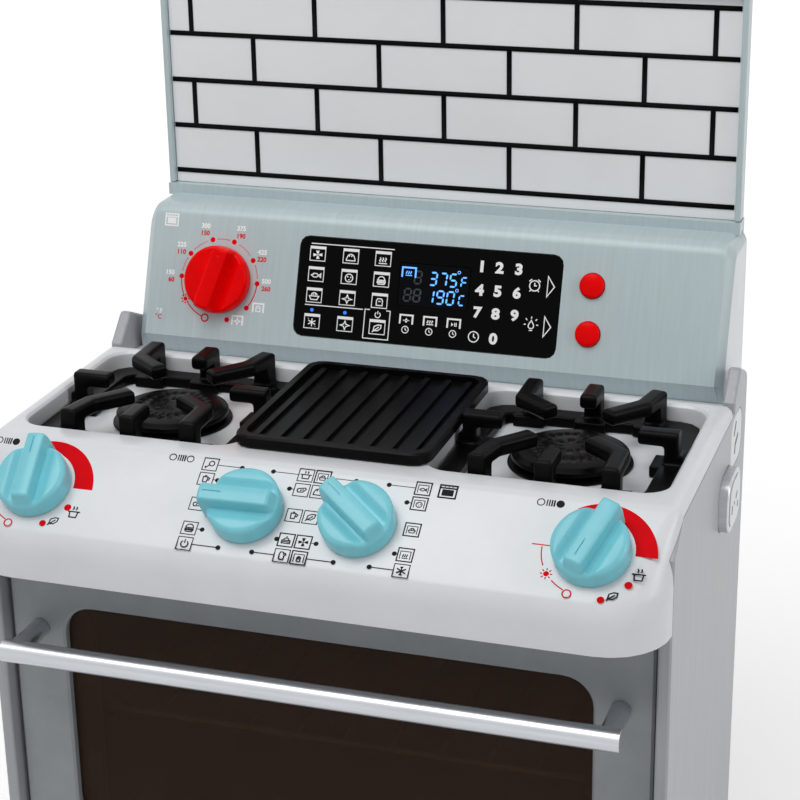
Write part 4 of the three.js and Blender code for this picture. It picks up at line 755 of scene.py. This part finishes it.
face_red.text("C", -240.6, 19.0, 4.2, 0.02)
face_white.done("dial_signs_white", "mark_white", slot="tile_white")
face_red.done("dial_signs_red", "mark_red", slot="red")

# Fascia: signs round the four knobs.
black, red = Ink(PRINTED), Ink(PRINTED)


def scale_sign(x, down, last_full):
    """A rising scale: a ring, four bars, a ring or a full dot."""
    black.ring(x - 7.2, -down, 2.7, 0.8)
    for n in range(4):
        black.fill(rectangle(x - 2.6 + n * 1.8, -down, 0.9 + 0.12 * n, 5.4))
    if last_full:
        black.disc(x + 7.2, -down, 3.1)
    else:
        black.ring(x + 7.2, -down, 2.7, 0.8)


scale_sign(-108.8, 7.6, False)
LEFT, RIGHT, MID_LEFT, MID_RIGHT = -84.3, 84.6, -7.2, 6.2
LINES = (10.3, 23.4, 45.7, 67.0, 80.3)
BOXES = ((LEFT, "chicken", "cup", "sausage", "burger", "power"),
         (MID_LEFT, "pot", "sausage", "cup", "cake", "mitt"),
         (MID_RIGHT, "pie", "bread", "leaf", "fan", "jar"),
         (RIGHT, "fish", "pizza", "pie", "steam", "flake"))
BOX_WIDE, BOX_TALL = 11.6, 10.8
for x, *names in BOXES:
    for down, name in zip(LINES, names):
        arched = x == RIGHT and name != "flake" or x == MID_RIGHT and name in ("pie", "jar")
        heavy = arched or name in ("fan", "cake")
        black.loop(rectangle(x, -down, BOX_WIDE, BOX_TALL), 1.0 if heavy else 0.75)
        if arched:
            black.sign("arch", x, -down - 0.3, 4.3, 4.0, 0.65)
        size, lower, stroke = (3.3, 0.8, 0.75) if arched else (4.9, 0, 0.9)
        black.sign(name, x, -down - lower, size, size * 0.92, stroke)
EDGE = 5.9
LEADS = {  # for a column of boxes, where the lead lines of rows 0, 1, 3 and 4 end
    (LEFT, 1): (-58.5, -74.8, -74.0, -57.4), (MID_LEFT, -1): (-33.3, -16.8, -14.7, -30.6),
    (MID_RIGHT, 1): (32.6, 16.4, 16.2, 32.9), (RIGHT, -1): (58.2, 75.1, 76.3, 60.5),
}
for (x, way), ends in LEADS.items():
    for row, end in zip((0, 1, 3, 4), ends):
        down = LINES[row]
        black.line([(x + way * EDGE, -down), (end, -down)], 0.6)
        black.disc(end, -down, 1.9, 14)
black.sign("door", 103.5, -10.5, 7.2, 5.9, 1.3)
BAND = dict(start=117.0, inner=30.6, first=37.6, last=46.8, end=0.2, steps=36)
BESIDE = {  # places of the signs beside an outer knob, from its centre: dots, pot and leaf
    -218.3: ((32.2, -17.0), (16.5, -33.0), (38.5, -20.6), (24.6, -30.2)),
    218.3: ((30.1, -23.5), (12.9, -37.6), (35.9, -14.6), (20.6, -33.8)),
}


def heat_band(centre):
    """The red band that widens from above the knob round to its right side and ends level."""
    inner, outer = [], []
    last = math.degrees(math.asin(BAND["end"] / BAND["inner"]))
    for n in range(BAND["steps"] + 1):
        share = n / BAND["steps"]
        turn = BAND["start"] + (last - BAND["start"]) * share
        near = BAND["inner"] + 6.0 * max(0.0, 1 - share * 2.2)
        far = BAND["first"] + (BAND["last"] - BAND["first"]) * share
        inner.append(polar(centre, -RING_DOWN, near, turn))
        x, y = polar(centre, -RING_DOWN, far, turn)
        outer.append((x, max(y, BAND["end"] - RING_DOWN)))
    for a, b, c, d in zip(inner, inner[1:], outer[1:], outer):
        red.fill([a, b, c, d])


for centre, (dot, second, pot, leaf) in BESIDE.items():
    scale_sign(centre - 37.6, 10.0, True)
    heat_band(centre)
    red.disc(centre + dot[0], dot[1] - RING_DOWN, 2.9)
    red.disc(centre + second[0], second[1] - RING_DOWN, 2.7)
    black.sign("pot", centre + pot[0], pot[1] - RING_DOWN, 5.6, 6.4, 1.1)
    black.sign("leaf", centre + leaf[0], leaf[1] - RING_DOWN, 5.2, 5.0, 1.0)
    red.line([(centre - 44.3, -45.0), (centre - 30.5, -45.0)], 0.9)
    red.arc(centre, -RING_DOWN, 36.6, 181, 206, 0.9)
    sun_at = polar(centre, -RING_DOWN, 36.8, 217.5)
    red.sign("sun", *sun_at, 4.8, 4.8, 0.9)
    red.disc(*sun_at, 2.1)
    red.arc(centre, -RING_DOWN, 36.6, 228, 246, 0.9)
    red.ring(*polar(centre, -RING_DOWN, 38.0, 252), 3.1, 0.9)
black.done("fascia_signs_black", "mark_black", slot="line_black")
red.done("fascia_signs_red", "mark_red", slot="red")

# Grey marks on the right side: on the square button and on the plate above it.
SIDE = Frame((0, 0, 0), (0, 1, 0), (0, 0, 1))
SIDE_SIGNS = {  # name, body, node, width and the strokes
    "side_button_signs": ("side_push", "side_button_label", 3.4, (
        ((57, 437), (51, 433)), ((44, 433), (44, 430)), ((61, 427), (60, 422)), ((36, 432), (34.5, 425)))),
    "side_plate_signs": ("cabinet", "side_plate", 4.2, (
        ((93, 482), (85, 472)), ((104.5, 467), (92, 462), (91, 454)))),
}
for name, (body, node, width, strokes) in SIDE_SIGNS.items():
    marks = Ink(SIDE, SIDE.height_of(node))
    for stroke in strokes:
        marks.line(stroke, width)
    marks.done(name, "mark_grey", body, slot="tile_white")

# ---------------------------------------------------------------- camera

camera = bpy.data.objects.new("camera", bpy.data.cameras.new("camera"))
scene.collection.objects.link(camera)
scene.camera = camera
camera.data.lens = 94.05
camera.data.sensor_width = 36
camera.data.clip_start = 0.05
camera.data.clip_end = 200
yaw, pitch, roll = (math.radians(v) for v in (18.603, 20.744, 0.981))
ahead = Vector((-math.sin(yaw) * math.cos(pitch), math.cos(yaw) * math.cos(pitch), -math.sin(pitch)))
level = Vector((math.cos(yaw), math.sin(yaw), 0))
down = ahead.cross(level)
right = level * math.cos(roll) + down * math.sin(roll)
upward = right.cross(ahead)
turn = Matrix((right, upward, -ahead)).transposed().to_4x4()
camera.matrix_world = Matrix.Translation((0.51866, -1.48022, 1.09911)) @ turn

# ---------------------------------------------------------------- stage

floor_mesh = bpy.data.meshes.new("floor")
half = 20.0  # metres
corners = [(-half, -half, 0), (half, -half, 0), (half, half, 0), (-half, half, 0)]
floor_mesh.from_pydata(corners, [], [(0, 1, 2, 3)])
floor = bpy.data.objects.new("floor", floor_mesh)
scene.collection.objects.link(floor)
floor_mat = bpy.data.materials.new("floor")
floor_mat.use_nodes = True
tree = floor_mat.node_tree
shader = tree.nodes["Principled BSDF"]
shader.inputs["Base Color"].default_value = (0.86, 0.86, 0.86, 1)
shader.inputs["Roughness"].default_value = 0.7
shader.inputs["Specular IOR Level"].default_value = 0.1


def seen_rays(tree):
    """1 for rays that the camera, a mirror or a glass sends, 0 for the light on matt surfaces."""
    path = tree.nodes.new("ShaderNodeLightPath")
    first = tree.nodes.new("ShaderNodeMath")
    second = tree.nodes.new("ShaderNodeMath")
    for node in (first, second):
        node.operation = "MAXIMUM"
    tree.links.new(path.outputs["Is Camera Ray"], first.inputs[0])
    tree.links.new(path.outputs["Is Glossy Ray"], first.inputs[1])
    tree.links.new(first.outputs[0], second.inputs[0])
    tree.links.new(path.outputs["Is Transmission Ray"], second.inputs[1])
    return second.outputs[0]


# Painted light on the floor: an emission for seen rays, weaker round the object so the painted shade there
# keeps its shadow, stronger far out
lift = tree.nodes.new("ShaderNodeEmission")
lift.inputs["Color"].default_value = (1, 1, 1, 1)
level_node = tree.nodes.new("ShaderNodeMath")
level_node.operation = "MULTIPLY"
reach = tree.nodes.new("ShaderNodeVectorMath")
reach.operation = "LENGTH"
tree.links.new(tree.nodes.new("ShaderNodeTexCoord").outputs["Object"], reach.inputs[0])
rise = tree.nodes.new("ShaderNodeMapRange")  # painted brightness of the floor for seen rays by distance from the object, in metres: lower near it, where its shadow falls, higher far out
for socket, value in {"From Min": 0.6, "From Max": 3.0, "To Min": 0.42, "To Max": 0.7}.items():
    rise.inputs[socket].default_value = value
tree.links.new(reach.outputs["Value"], rise.inputs["Value"])
tree.links.new(rise.outputs["Result"], level_node.inputs[1])
tree.links.new(seen_rays(tree), level_node.inputs[0])
tree.links.new(level_node.outputs[0], lift.inputs["Strength"])
total = tree.nodes.new("ShaderNodeAddShader")
tree.links.new(shader.outputs[0], total.inputs[0])
tree.links.new(lift.outputs[0], total.inputs[1])
tree.links.new(total.outputs[0], tree.nodes["Material Output"].inputs["Surface"])
floor_mesh.materials.append(floor_mat)

world = bpy.data.worlds.new("world")
scene.world = world
world.use_nodes = True
tree = world.node_tree
back = tree.nodes["Background"]
back.inputs["Color"].default_value = (1, 1, 1, 1)
mix = tree.nodes.new("ShaderNodeMapRange")
mix.inputs["To Min"].default_value = 0.38
mix.inputs["To Max"].default_value = 1.0
tree.links.new(seen_rays(tree), mix.inputs["Value"])
tree.links.new(mix.outputs["Result"], back.inputs["Strength"])


def softbox(name, place, target, size, watts):
    lamp = bpy.data.lights.new(name, "AREA")
    lamp.shape = "RECTANGLE"
    lamp.size, lamp.size_y = size
    lamp.energy = watts
    obj = bpy.data.objects.new(name, lamp)
    scene.collection.objects.link(obj)
    obj.location = place
    aim = Vector(target) - Vector(place)
    obj.rotation_euler = aim.to_track_quat("-Z", "Y").to_euler()


softbox("key", (-0.5, -1.0, 2.6), (0, -0.05, 0.5), (1.5, 1.5), 27)
softbox("side", (2.6, -0.3, 1.5), (0.25, 0, 0.4), (0.9, 1.4), 14)

scene.view_settings.view_transform = "Standard"
